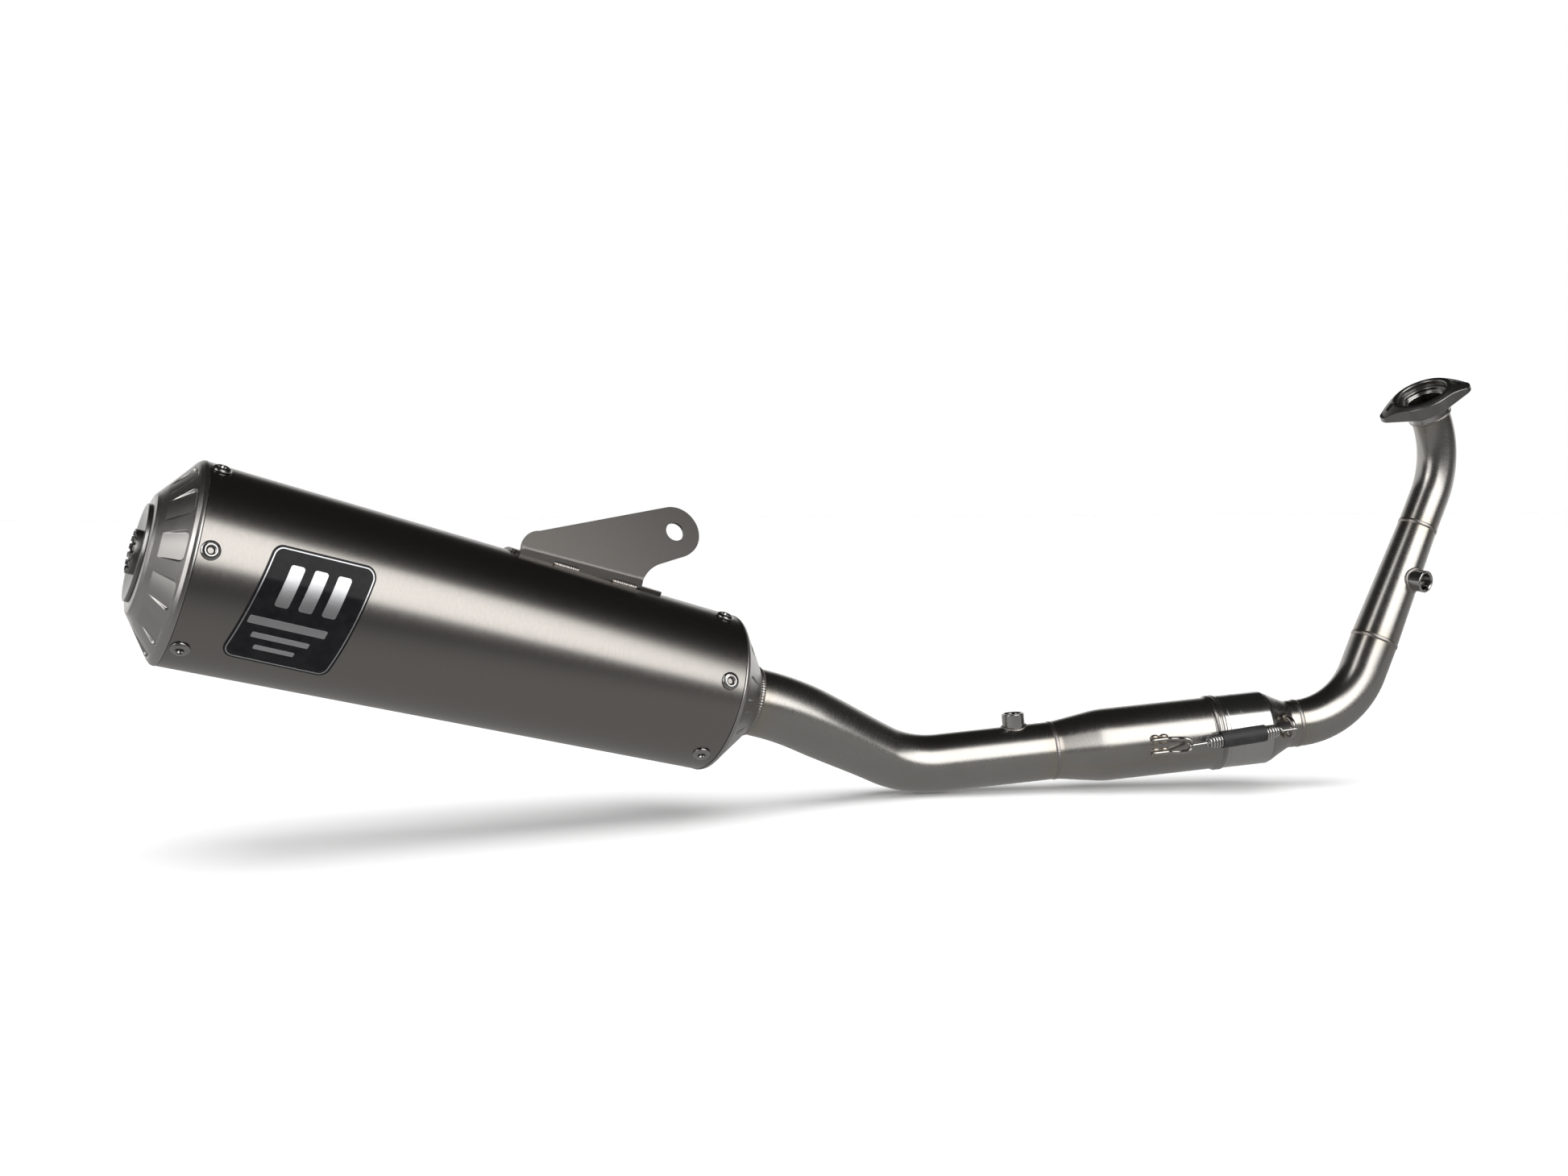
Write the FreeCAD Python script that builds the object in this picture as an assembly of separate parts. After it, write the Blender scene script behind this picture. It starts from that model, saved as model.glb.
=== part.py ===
import FreeCAD, Part
import math
import os

os.makedirs("parts", exist_ok=True)

V = FreeCAD.Vector

# Frame: origin at the mouth of the port collar, +X forward along the machine, +Z up, mm.
# The muffler trails towards -X and swings out towards -Y.

# Pipe centre line: corner points and bend radii.
corner_upper = V(24.0, 12.0, -42.5)
corner_lower = V(-62.0, -12.0, -234.0)
corner_rear = V(-390.0, -12.0, -262.0)
corner_muffler = V(-481.0, -38.0, -216.0)
tail_point = V(-861.0, -140.0, -107.0)
upper_bend_radius = 62.0
lower_bend_radius = 62.0
rear_bend_radius = 76.0
muffler_bend_radius = 219.0

# Pipe sizes, as outside radius and wall.
header_r = 14.0
lower_r = 17.0
link_r = 20.5
link_end_r = 23.0
chamber_r = 25.8
pipe_wall = 1.5

# Port collar, measured up along the port axis from the origin.
collar_head_r = 17.6
collar_head_h = 5.7
collar_stem_r = 15.2
collar_length = 14.6
pipe_inset = 5.0
gasket_seat_r = 15.0
gasket_seat_depth = 3.0

# Port flange.
stud_half_spacing = 24.0
stud_hole_r = 3.5
flange_ear_r = 9.3
flange_mid_r = 24.0
flange_top = 4.5
flange_face_r = 21.5
flange_ear_top = -2.0
flange_ear_from = 31.5
flange_under = -6.0
flange_hub_low = -9.0
flange_line = V(0.836, -0.419, 0.354)

# Header stations: distances from the upper corner towards the lower corner.
cone_start = 58.0
cone_end = 149.6

# Slip joint stations: distances from the lower corner along the slip axis.
neck_start = 39.0
neck_end = 46.8
socket_start = 65.6
socket_end = 100.1
socket_r = 26.2
socket_bore_r = 24.2
spigot_r = 24.15
spigot_start = 68.6
spigot_bore_r = 22.6
lip_start = 100.3
lip_end = 108.5
lip_r = 27.0
chamber_end = 182.0
link_start = 223.4

# Sensor bosses.
boss_r = 8.0
boss_hole_r = 5.35
boss_height = 9.2
header_boss_station = 99.0
link_boss_station = 249.4
header_boss_side = V(0.4343, -0.8936, -0.0826)

# Joint spring and its hooks.
hook_wire_r = 1.6
spring_wire_r = 0.8
spring_coil_r = 4.2
spring_hook_r = 2.7
spring_pitch = 1.95
spring_lead = 9.5
spring_taper = 8.0
link_hook = (130.0, 33.7, -0.8)
header_hook = (53.8, 33.0, 2.6)
rubber_r = 6.1
rubber_bore_r = 5.25
rubber_start = 21.5
rubber_end = 54.5

# Muffler, with stations measured from its front rim towards the tail.
sleeve_length = 354.0
sleeve_r_front = 53.0
sleeve_r_rear = 63.0
sleeve_wall = 1.0
cap_insert = 18.0
cap_wall = 2.5
front_cap_length = 25.5
rear_cap_length = 24.0
pocket_count = 12
first_angle = 18.5
rivet_front = 11.0
rivet_rear = 346.8
rivet_head_r = 5.9
rivet_head_h = 2.3
rivet_shank_r = 2.4
core_r = 24.2
core_wall = 1.0
core_end = 330.0
outlet_r = 13.6
outlet_wall = 1.5
outlet_start = 290.0
outlet_end = 383.5
outlet_ring_r = 30.0

# Hanger bracket, in the muffler's own axes.
bracket_lean = 25.0
bracket_sheet = 2.5
fold_height = 61.3
fold_offset = 11.0
bracket_hole_r = 6.5
bracket_end_r = 17.8
bracket_hole_at = (51.5, 40.3)

badge_angle = 101.0


def unit(v):
    return V(v).normalize()


slip_axis = unit(corner_rear - corner_lower)
muffler_axis = unit(tail_point - corner_muffler)
muffler_front = tail_point - muffler_axis * 352.0


def placement(origin, z_dir, x_hint):
    """Placement whose local Z runs along z_dir and whose local X is nearest to x_hint."""
    z = unit(z_dir)
    x = unit(x_hint - z * x_hint.dot(z))
    y = z.cross(x)
    m = FreeCAD.Matrix(
        x.x, y.x, z.x, origin.x,
        x.y, y.y, z.y, origin.y,
        x.z, y.z, z.z, origin.z,
        0, 0, 0, 1)
    return FreeCAD.Placement(m)


def put(shape, place):
    moved = shape.copy()
    moved.Placement = place.multiply(moved.Placement)
    return moved


def revolved(points, turn=360.0):
    """Solid of revolution about Z of a closed outline of (radius, height) points."""
    corners = [V(r, 0, z) for r, z in points]
    outline = Part.makePolygon(corners + [corners[0]])
    return Part.Face(outline).revolve(V(0, 0, 0), V(0, 0, 1), turn)


def save(shape, name):
    shape.exportStep("parts/" + name + ".step")


def arc_points(before, corner, after, radius):
    """Start, middle and end of the bend that rounds a corner of the centre line."""
    a = unit(before - corner)
    b = unit(after - corner)
    half = a.getAngle(b) / 2.0
    reach = radius / math.tan(half)
    centre = corner + unit(a + b) * (radius / math.sin(half))
    middle = centre - unit(a + b) * radius
    return corner + a * reach, middle, corner + b * reach


def path_wire(start, bends, end):
    edges = []
    here = start
    for first, middle, last in bends:
        if (first - here).Length > 0.01:
            edges.append(Part.LineSegment(here, first).toShape())
        edges.append(Part.Arc(first, middle, last).toShape())
        here = last
    if (end - here).Length > 0.01:
        edges.append(Part.LineSegment(here, end).toShape())
    return Part.Wire(edges)


def swept(wire, radius):
    start = wire.OrderedEdges[0]
    origin = start.valueAt(start.FirstParameter)
    direction = start.tangentAt(start.FirstParameter)
    ring = Part.Wire([Part.Circle(origin, direction, radius).toShape()])
    return wire.makePipeShell([ring], True, False)


def bent_tube(start, bends, end, radius):
    wire = path_wire(start, bends, end)
    return swept(wire, radius).cut(swept(wire, radius - pipe_wall))


upper_bend = arc_points(V(0, 0, 0), corner_upper, corner_lower, upper_bend_radius)
lower_bend = arc_points(corner_upper, corner_lower, corner_rear, lower_bend_radius)
rear_bend = arc_points(corner_lower, corner_rear, corner_muffler, rear_bend_radius)
muffler_bend = arc_points(corner_rear, corner_muffler, tail_point, muffler_bend_radius)
down_axis = unit(corner_lower - corner_upper)
port_down = unit(corner_upper)
port_place = placement(V(0, 0, 0), port_down * -1.0, flange_line)
collar_place = placement(V(0, 0, 0), port_down, flange_line)
down_place = placement(corner_upper, down_axis, V(0, -1, 0))
slip_place = placement(corner_lower, slip_axis, V(0, 0, 1))
muffler_place = placement(muffler_front, muffler_axis, V(0, 0, 1))


def on_slip(station, outward, upward):
    """Point given by its slip-axis station and its offsets towards -Y and upwards."""
    return slip_place.multVec(V(upward, -outward, station))


def bead(radius, station, half_width, height, place):
    """Ring of weld metal lying on a round pipe."""
    r = radius + 0.02
    ring = revolved([
        (r, station - half_width), (r + 0.75 * height, station - 0.55 * half_width),
        (r + height, station), (r + 0.75 * height, station + 0.55 * half_width),
        (r, station + half_width)])
    return put(ring, place)


def port_collar():
    bore = header_r - pipe_wall
    ring = revolved([
        (bore, gasket_seat_depth), (gasket_seat_r, gasket_seat_depth),
        (gasket_seat_r, 0.0), (collar_head_r - 0.8, 0.0), (collar_head_r, 0.8),
        (collar_head_r, collar_head_h - 0.3), (collar_head_r - 0.3, collar_head_h),
        (collar_stem_r, collar_head_h), (collar_stem_r, collar_length),
        (header_r + 0.03, collar_length), (header_r + 0.03, pipe_inset), (bore, pipe_inset)])
    return put(ring, collar_place)


def oval(mid_r, end_r, low, high):
    """Two-lobed plate: a round middle joined to two smaller ends by straight flanks."""
    q = stud_half_spacing
    s = (mid_r - end_r) / q
    c = math.sqrt(1.0 - s * s)
    corners = [
        V(s * mid_r, c * mid_r, low), V(q + s * end_r, c * end_r, low),
        V(q + s * end_r, -c * end_r, low), V(s * mid_r, -c * mid_r, low),
        V(-s * mid_r, -c * mid_r, low), V(-q - s * end_r, -c * end_r, low),
        V(-q - s * end_r, c * end_r, low), V(-s * mid_r, c * mid_r, low)]
    flanks = Part.Face(Part.makePolygon(corners + [corners[0]]))
    plate = flanks.extrude(V(0, 0, high - low))
    plate = plate.fuse(Part.makeCylinder(mid_r, high - low, V(0, 0, low)))
    plate = plate.fuse(Part.makeCylinder(end_r, high - low, V(q, 0, low)))
    plate = plate.fuse(Part.makeCylinder(end_r, high - low, V(-q, 0, low)))
    return plate.removeSplitter()


def port_flange():
    """Domed two-stud flange: a flat face round the bore that falls away to the stud ears."""
    plate = oval(flange_mid_r, flange_ear_r, flange_under, flange_top)
    dome = revolved([
        (0, flange_under), (60.0, flange_under), (60.0, flange_ear_top),
        (flange_ear_from, flange_ear_top), (flange_face_r, flange_top - 0.2),
        (flange_face_r - 0.4, flange_top), (0, flange_top)])
    hub = revolved([
        (0, flange_hub_low), (18.6, flange_hub_low), (20.6, flange_under), (0, flange_under)])
    bore = revolved([
        (0, flange_hub_low), (collar_stem_r + 0.4, flange_hub_low),
        (collar_stem_r + 0.4, flange_under), (collar_head_r + 0.3, flange_under),
        (collar_head_r + 0.3, flange_top - 0.8), (collar_head_r + 0.9, flange_top),
        (0, flange_top)])
    plate = plate.common(dome).fuse(hub).cut(bore)
    for side in (-1.0, 1.0):
        at = V(side * stud_half_spacing, 0, -20.0)
        plate = plate.cut(Part.makeCylinder(stud_hole_r, 30.0, at))
    return put(plate.removeSplitter(), port_place)


def header_upper_bend():
    start = port_down * (pipe_inset + 0.02)
    end = corner_upper + down_axis * cone_start
    return bent_tube(start, [upper_bend], end, header_r)


def header_cone():
    return put(revolved([
        (header_r - pipe_wall, cone_start), (header_r, cone_start),
        (lower_r, cone_end), (lower_r - pipe_wall, cone_end)]), down_place)


def header_lower_bend():
    start = corner_upper + down_axis * cone_end
    end = corner_lower + slip_axis * neck_start
    return bent_tube(start, [lower_bend], end, lower_r)


def header_taper(extra):
    return put(revolved([
        (0, cone_start), (header_r + extra, cone_start), (lower_r + extra, cone_end),
        (0, cone_end)]), down_place)


def header_boss_place():
    origin = corner_upper + down_axis * header_boss_station
    return placement(origin, header_boss_side, down_axis)


def sensor_boss(place, pipe_radius):
    """Threaded sensor boss standing on a pipe, saddle-cut to the pipe's surface."""
    top = pipe_radius + boss_height
    body = Part.makeCylinder(boss_r, top - 6.0, V(0, 0, 6.0))
    edge = [e for e in body.Edges if abs(e.CenterOfMass.z - top) < 0.01]
    body = body.makeChamfer(0.7, edge)
    body = body.cut(Part.makeCylinder(pipe_radius + 0.01, 60.0, V(-30, 0, 0), V(1, 0, 0)))
    body = body.cut(Part.makeCylinder(boss_hole_r, 60.0))
    return put(body, place)


def boss_fillet(place, pipe, thicker_pipe):
    """Weld skirt round a boss, lying on the pipe and following its curve."""
    skirt = Part.makeCylinder(boss_r + 1.2, 40.0).cut(Part.makeCylinder(boss_r + 0.02, 40.0))
    return put(skirt, place).common(thicker_pipe).cut(pipe)


def boss_drill(place):
    return put(Part.makeCylinder(boss_hole_r, 40.0), place)


def chamber_cone():
    return put(revolved([
        (lower_r - pipe_wall, neck_start), (lower_r, neck_start), (lower_r, neck_end),
        (18.0, 49.4), (21.5, 56.4), (25.1, 63.0), (socket_r - 0.1, socket_start),
        (socket_bore_r, socket_start), (23.6, 63.2), (20.1, 57.0), (16.6, 50.0),
        (lower_r - pipe_wall, neck_end + 0.6)]), slip_place)


def slip_socket():
    r = socket_r
    mid = socket_end - 12.7
    return put(revolved([
        (socket_bore_r, socket_start), (r, socket_start), (r, mid - 0.35), (r - 0.25, mid),
        (r, mid + 0.35), (r, socket_end - 3.4), (r - 0.3, socket_end - 3.0),
        (r, socket_end - 2.6), (r, socket_end - 0.6), (r - 0.6, socket_end),
        (socket_bore_r, socket_end)]), slip_place)


def slip_spigot():
    r = lip_r
    s = lip_start
    return put(revolved([
        (spigot_bore_r, spigot_start), (spigot_r - 0.6, spigot_start),
        (spigot_r, spigot_start + 1.2), (spigot_r, s), (r - 0.6, s), (r, s + 0.6),
        (r, s + 1.8), (r - 0.7, s + 2.3), (r - 0.7, s + 3.1), (r, s + 3.6),
        (r, s + 4.9), (chamber_r + 0.3, s + 6.2), (chamber_r, s + 7.4),
        (chamber_r, lip_end), (chamber_r - pipe_wall, lip_end),
        (chamber_r - pipe_wall, lip_end - 1.0), (spigot_bore_r, lip_end - 5.0)]), slip_place)


def link_chamber():
    return put(revolved([
        (chamber_r - pipe_wall, lip_end), (chamber_r, lip_end),
        (chamber_r, chamber_end), (chamber_r - pipe_wall, chamber_end)]), slip_place)


def link_cone():
    w = pipe_wall
    return put(revolved([
        (chamber_r - w, chamber_end), (chamber_r, chamber_end), (25.4, chamber_end + 4.0),
        (20.8, link_start - 3.0), (link_r, link_start), (link_r - w, link_start),
        (20.8 - w, link_start - 3.4), (25.4 - w, chamber_end + 3.4)]), slip_place)


def link_solid(thinner):
    """Outside or inside body of the link pipe: a straight, a bend, a taper and an easy bend."""
    start = corner_lower + slip_axis * link_start
    front = swept(path_wire(start, [rear_bend], rear_bend[2]), link_r - thinner)
    span = muffler_bend[0] - rear_bend[2]
    taper = Part.makeCone(
        link_r - thinner, link_end_r - thinner, span.Length, rear_bend[2], span)
    end = muffler_front + muffler_axis * 4.0
    back = swept(path_wire(muffler_bend[0], [muffler_bend], end), link_end_r - thinner)
    return front.fuse([taper, back])


def link_straight(extra):
    return put(Part.makeCylinder(link_r + extra, 90.0, V(0, 0, link_start)), slip_place)


def link_boss_place():
    origin = corner_lower + slip_axis * link_boss_station
    return placement(origin, V(0, 0, 1) - slip_axis * slip_axis.z, slip_axis)


def link_pipe():
    return link_solid(0.0).cut(link_solid(pipe_wall)).cut(boss_drill(link_boss_place()))


def smooth_wire(points, radius):
    """Round wire following a smooth curve through the points."""
    curve = Part.BSplineCurve()
    curve.interpolate(points)
    path = Part.Wire([curve.toShape()])
    ring = Part.Wire([Part.Circle(points[0], curve.tangent(0.0)[0], radius).toShape()])
    return path.makePipeShell([ring], True, False)


def neck_solid():
    return put(revolved([
        (0, neck_start), (lower_r, neck_start), (lower_r, neck_end), (18.0, 49.4),
        (21.5, 56.4), (25.1, 63.0), (0, 63.0)]), slip_place)


def header_spring_hook():
    s, out, up = header_hook
    legs = [
        (18.0, up + 6.2), (22.0, up + 6.3), (27.0, up + 6.2), (out - 2.6, up + 5.3),
        (out - 0.5, up + 3.2), (out, up), (out - 0.5, up - 3.2), (out - 2.6, up - 5.3),
        (27.0, up - 6.2), (22.0, up - 6.3), (18.0, up - 6.2)]
    wire = smooth_wire([on_slip(s, o, u) for o, u in legs], hook_wire_r)
    return wire.cut(neck_solid())


def link_spring_hook():
    s, out, up = link_hook
    rest = chamber_r + hook_wire_r + 0.03
    top = up + 4.7
    low = up - 4.7
    top_out = math.sqrt(rest * rest - top * top)
    low_out = math.sqrt(rest * rest - low * low)
    track = [
        (s + 27.0, top_out, top), (s + 20.0, top_out, top), (s + 14.0, top_out + 0.6, top),
        (s + 8.0, out - 1.6, top), (s + 3.6, out, top - 0.5), (s + 0.9, out, up + 2.6),
        (s, out, up), (s + 0.9, out, up - 2.6), (s + 3.6, out, low + 0.5),
        (s + 8.0, out - 1.8, low), (s + 14.0, low_out + 0.6, low),
        (s + 20.0, low_out, low), (s + 27.0, low_out, low)]
    wire = smooth_wire([on_slip(a, o, u) for a, o, u in track], hook_wire_r)
    tube = put(Part.makeCylinder(chamber_r, chamber_end - lip_end, V(0, 0, lip_end)), slip_place)
    return wire.cut(tube)


spring_from = on_slip(*link_hook)
spring_to = on_slip(*header_hook)
spring_length = (spring_to - spring_from).Length
spring_place = placement(spring_from, spring_to - spring_from, V(0, -1, 0))


def spring_end(r):
    """Open hook and straight lead at one end of the spring, its hook round the local origin."""
    track = Part.Wire([
        Part.LineSegment(V(-r, 0, 1.6), V(-r, 0, 0)).toShape(),
        Part.Arc(V(-r, 0, 0), V(0, 0, -r), V(r, 0, 0)).toShape(),
        Part.LineSegment(V(r, 0, 0), V(r, 0, spring_lead - 0.02)).toShape()])
    return swept(track, spring_wire_r)


def joint_spring():
    """Close-wound extension spring with tapered ends and an open hook at each end."""
    r = spring_hook_r
    low = spring_lead
    high = spring_length - spring_lead
    turns = round((high - low) / spring_pitch)
    steps = turns * 12
    rates = [min(1.0, i / 16.0, (steps - 1 - i) / 16.0) for i in range(steps)]
    total = sum(rates)
    points = []
    angle = 0.0
    for i in range(steps + 1):
        along = (high - low) * i / steps
        grow = min(1.0, along / spring_taper, (high - low - along) / spring_taper)
        radius = r + (spring_coil_r - r) * (1.0 - math.cos(grow * math.pi)) / 2.0
        points.append(V(radius * math.cos(angle), radius * math.sin(angle), low + along))
        if i < steps:
            angle += 2.0 * math.pi * turns * rates[i] / total
    curve = Part.BSplineCurve()
    curve.interpolate(points)
    ring = Part.Wire([Part.Circle(points[0], V(0, 0, 1), spring_wire_r).toShape()])
    coil = Part.Wire([curve.toShape()]).makePipeShell([ring], True, True)
    far = spring_end(r)
    far.rotate(V(0, 0, 0), V(1, 0, 0), 180.0)
    far.translate(V(0, 0, spring_length))
    return put(Part.makeCompound([coil, spring_end(r), far]), spring_place)


def spring_rubber():
    return put(revolved([
        (rubber_bore_r, rubber_start), (rubber_r - 0.3, rubber_start),
        (rubber_r, rubber_start + 0.5), (rubber_r, rubber_end - 0.5),
        (rubber_r - 0.3, rubber_end), (rubber_bore_r, rubber_end)]), spring_place)


def header_welds(neighbours):
    beads = [
        put(revolved([
            (header_r + 0.02, collar_length + 0.02), (collar_stem_r, collar_length + 0.02),
            (collar_stem_r + 0.3, collar_length + 0.5), (collar_stem_r - 0.1, collar_length + 1.4),
            (header_r + 0.02, collar_length + 2.0)]), collar_place),
        bead(header_r, cone_start, 1.8, 0.45, down_place),
        bead(lower_r, cone_end, 1.8, 0.45, down_place),
        bead(lower_r, neck_start, 1.8, 0.45, slip_place)]
    s, _, up = header_hook
    for side in (6.3, -6.3):
        beads.append(Part.makeSphere(2.8, on_slip(s, 20.9, up + side)))
    skirt = boss_fillet(header_boss_place(), header_taper(0.02), header_taper(1.1))
    return clear_of(beads, neighbours, [skirt])


def clear_of(beads, neighbours, finished):
    cleaned = list(finished)
    for one in beads:
        for other in neighbours:
            if one.BoundBox.intersect(other.BoundBox):
                one = one.cut(other)
        cleaned += [s for s in one.Solids if s.Volume > 0.5]
    return Part.makeCompound(cleaned)


def link_welds(neighbours):
    beads = [
        bead(link_r, link_start, 1.8, 0.45, slip_place),
        bead(link_end_r, -front_cap_length - 1.9, 1.85, 1.6, muffler_place)]
    s, _, up = link_hook
    for level in (up + 4.7, up - 4.7):
        rest = math.sqrt(28.2 * 28.2 - level * level)
        for station in (s + 18.0, s + 24.5):
            beads.append(Part.makeSphere(2.3, on_slip(station, rest - 1.0, level)))
    skirt = boss_fillet(link_boss_place(), link_straight(0.02), link_straight(1.1))
    return clear_of(beads, neighbours, [skirt])


def sleeve_r(t):
    return sleeve_r_front + (sleeve_r_rear - sleeve_r_front) * t / sleeve_length


def around(angle):
    """Direction at an angle from the muffler's top, turning towards the outer side."""
    a = math.radians(angle)
    return V(math.cos(a), -math.sin(a), 0)


def rivet_sites():
    sites = []
    for t in (rivet_front, rivet_rear):
        for k in range(6):
            sites.append((t, first_angle + 60.0 * k))
    return sites


def rivet_drills():
    drills = []
    for t, angle in rivet_sites():
        d = around(angle)
        foot = d * (sleeve_r(t) - 6.0) + V(0, 0, t)
        drills.append(Part.makeCylinder(rivet_shank_r + 0.05, 9.0, foot, d))
    return drills


def rivets(t):
    """Six blind rivets with domed heads and a hollow centre."""
    h = rivet_head_h
    w = rivet_head_r
    group = []
    for k in range(6):
        d = around(first_angle + 60.0 * k)
        one = revolved([
            (0, -3.5), (rivet_shank_r, -3.5), (rivet_shank_r, 0.2), (w, 0.2), (w, 0.8),
            (w - 0.5, 1.5), (w - 1.3, 2.0), (w - 2.3, h), (w - 3.2, h), (w - 3.9, 1.6),
            (w - 4.2, 0.5), (0, 0.5)])
        at = placement(d * sleeve_r(t) + V(0, 0, t), d, V(0, 0, 1))
        group.append(put(put(one, at), muffler_place))
    return Part.makeCompound(group)


def pockets(outer, inner, first, last, depth, half_wide, half_narrow):
    """Ring of U-shaped recesses in a cone, deepest at the rim and running out at the small end."""
    run = V(inner[0] - outer[0], inner[1] - outer[1], 0)
    length = run.Length
    d = (run.x / length, run.y / length)
    n = (abs(d[1]), abs(d[0]) if d[1] > 0 else -abs(d[0]))

    def spot(a, lift):
        return (outer[0] + d[0] * a + n[0] * lift, outer[1] + d[1] * a + n[1] * lift)

    slope = depth / (last - first)
    ring = revolved([
        spot(0.0, -slope * last), spot(last + 2.0, slope * 2.0),
        spot(last + 2.0, 6.0), spot(0.0, 6.0)])
    far = last + 3.0
    c = 4.0
    k = c * 0.7071
    outline = [
        Part.LineSegment(V(far, -half_narrow, -5), V(first + c, -half_wide, -5)).toShape(),
        Part.Arc(V(first + c, -half_wide, -5), V(first + c - k, -half_wide + c - k, -5),
                 V(first, -half_wide + c, -5)).toShape(),
        Part.LineSegment(V(first, -half_wide + c, -5), V(first, half_wide - c, -5)).toShape(),
        Part.Arc(V(first, half_wide - c, -5), V(first + c - k, half_wide - c + k, -5),
                 V(first + c, half_wide, -5)).toShape(),
        Part.LineSegment(V(first + c, half_wide, -5), V(far, half_narrow, -5)).toShape(),
        Part.LineSegment(V(far, half_narrow, -5), V(far, -half_narrow, -5)).toShape()]
    prism = Part.Face(Part.Wire(outline)).extrude(V(0, 0, 12))
    cuts = []
    for i in range(pocket_count):
        out = around(first_angle + 360.0 * i / pocket_count)
        origin = out * outer[0] + V(0, 0, outer[1])
        lift = out * n[0] + V(0, 0, n[1])
        along = out * d[0] + V(0, 0, d[1])
        cuts.append(put(prism, placement(origin, lift, along)).common(ring))
    return cuts


def inlet_cap():
    e = -front_cap_length
    lip = sleeve_r(cap_insert) - sleeve_wall - 0.05
    start = sleeve_r_front - sleeve_wall - 0.05
    cap = revolved([
        (start, 0.0), (53.3, 0.0), (53.3, -1.0), (52.7, -2.6), (51.0, -4.0), (29.5, -22.0),
        (27.0, -24.0), (25.0, e), (link_end_r + 0.05, e), (link_end_r + 0.05, -20.5),
        (27.9, -20.1), (49.4, -2.1), (49.9, 0.0), (lip - 2.0, cap_insert), (lip, cap_insert)])
    cuts = pockets((51.0, -4.0), (29.5, -22.0), 3.0, 22.0, 1.1, 8.2, 5.4)
    return put(cap.cut(cuts + rivet_drills()[:6]), muffler_place)


def outlet_cap():
    z = sleeve_length
    face = z + rear_cap_length
    lip = sleeve_r(z - cap_insert) - sleeve_wall - 0.05
    start = sleeve_r_rear - sleeve_wall - 0.05
    cap = revolved([
        (start, z), (63.3, z), (63.3, z + 1.0), (62.8, z + 2.6), (61.0, z + 4.6),
        (38.5, z + 21.6), (36.6, z + 23.2), (34.2, face), (28.05, face), (28.05, face - cap_wall),
        (34.0, face - cap_wall), (36.9, z + 19.6), (59.4, z + 2.6), (60.2, z),
        (lip - 2.0, z - cap_insert), (lip, z - cap_insert)])
    cuts = pockets((61.0, z + 4.6), (38.5, z + 21.6), 2.0, 22.8, 1.6, 9.3, 7.2)
    return put(cap.cut(cuts + rivet_drills()[6:]), muffler_place)


def outer_sleeve():
    z = sleeve_length
    w = sleeve_wall
    shell = revolved([
        (sleeve_r_front - w, 0.0), (sleeve_r_front, 0.0), (sleeve_r_rear, z), (sleeve_r_rear - w, z)])
    return put(shell.cut(rivet_drills()), muffler_place)


def outlet_ring():
    f = sleeve_length + rear_cap_length
    b = outlet_r + 0.05
    r = outlet_ring_r
    return put(revolved([
        (b, f - 3.0), (27.95, f - 3.0), (27.95, f + 0.05), (r, f + 0.05), (r, f + 2.1),
        (r - 0.8, f + 2.6), (r - 2.2, f + 2.4), (16.0, f - 0.6), (15.2, f - 0.2),
        (b, f - 0.2)]), muffler_place)


def outlet_tube():
    """Tail tube, its rear edge cut through a ring of punched holes."""
    tube = revolved([
        (outlet_r - outlet_wall, outlet_start), (outlet_r, outlet_start),
        (outlet_r, outlet_end), (outlet_r - outlet_wall, outlet_end)])
    nicks = []
    for i in range(8):
        d = around(22.5 * i)
        nicks.append(Part.makeCylinder(1.1, 40.0, d * -20.0 + V(0, 0, outlet_end), d))
    return put(tube.cut(nicks), muffler_place)


def perforated_core():
    tube = revolved([
        (core_r - core_wall, -14.0), (core_r, -14.0), (core_r, core_end),
        (core_r - core_wall, core_end)])
    holes = []
    for row in range(14):
        for k in range(4):
            d = around(45.0 * k + 22.5 * (row % 2))
            at = d * -30.0 + V(0, 0, 30.0 + 18.0 * row)
            holes.append(Part.makeCylinder(2.5, 60.0, at, d))
    return put(tube.cut(holes), muffler_place)


def core_end_plate():
    return put(revolved([
        (outlet_r + 0.05, 316.0), (core_r - core_wall - 0.05, 316.0),
        (core_r - core_wall - 0.05, 318.0), (outlet_r + 0.05, 318.0)]), muffler_place)


def rear_baffle():
    outer = sleeve_r(328.0) - sleeve_wall - 0.1
    return put(revolved([
        (core_r + 0.05, 328.0), (outer, 328.0),
        (outer, 329.5), (core_r + 0.05, 329.5)]), muffler_place)


def sound_packing():
    a = sleeve_r(19.0) - sleeve_wall - 0.1
    b = sleeve_r(327.0) - sleeve_wall - 0.1
    ring = revolved([(core_r + 0.05, 19.0), (a, 19.0), (b, 327.5), (core_r + 0.05, 327.5)])
    return put(ring, muffler_place)


def tangent_point(p, c, r, side):
    """Where a line from p touches the circle at c with radius r."""
    reach = math.hypot(p[0] - c[0], p[1] - c[1])
    base = math.atan2(p[1] - c[1], p[0] - c[0])
    swing = side * math.acos(r / reach)
    return c[0] + r * math.cos(base + swing), c[1] + r * math.sin(base + swing)


def sleeve_core_solid():
    return revolved([
        (0, 0), (sleeve_r_front + 0.02, 0), (sleeve_r_rear + 0.02, sleeve_length), (0, sleeve_length)])


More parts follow.
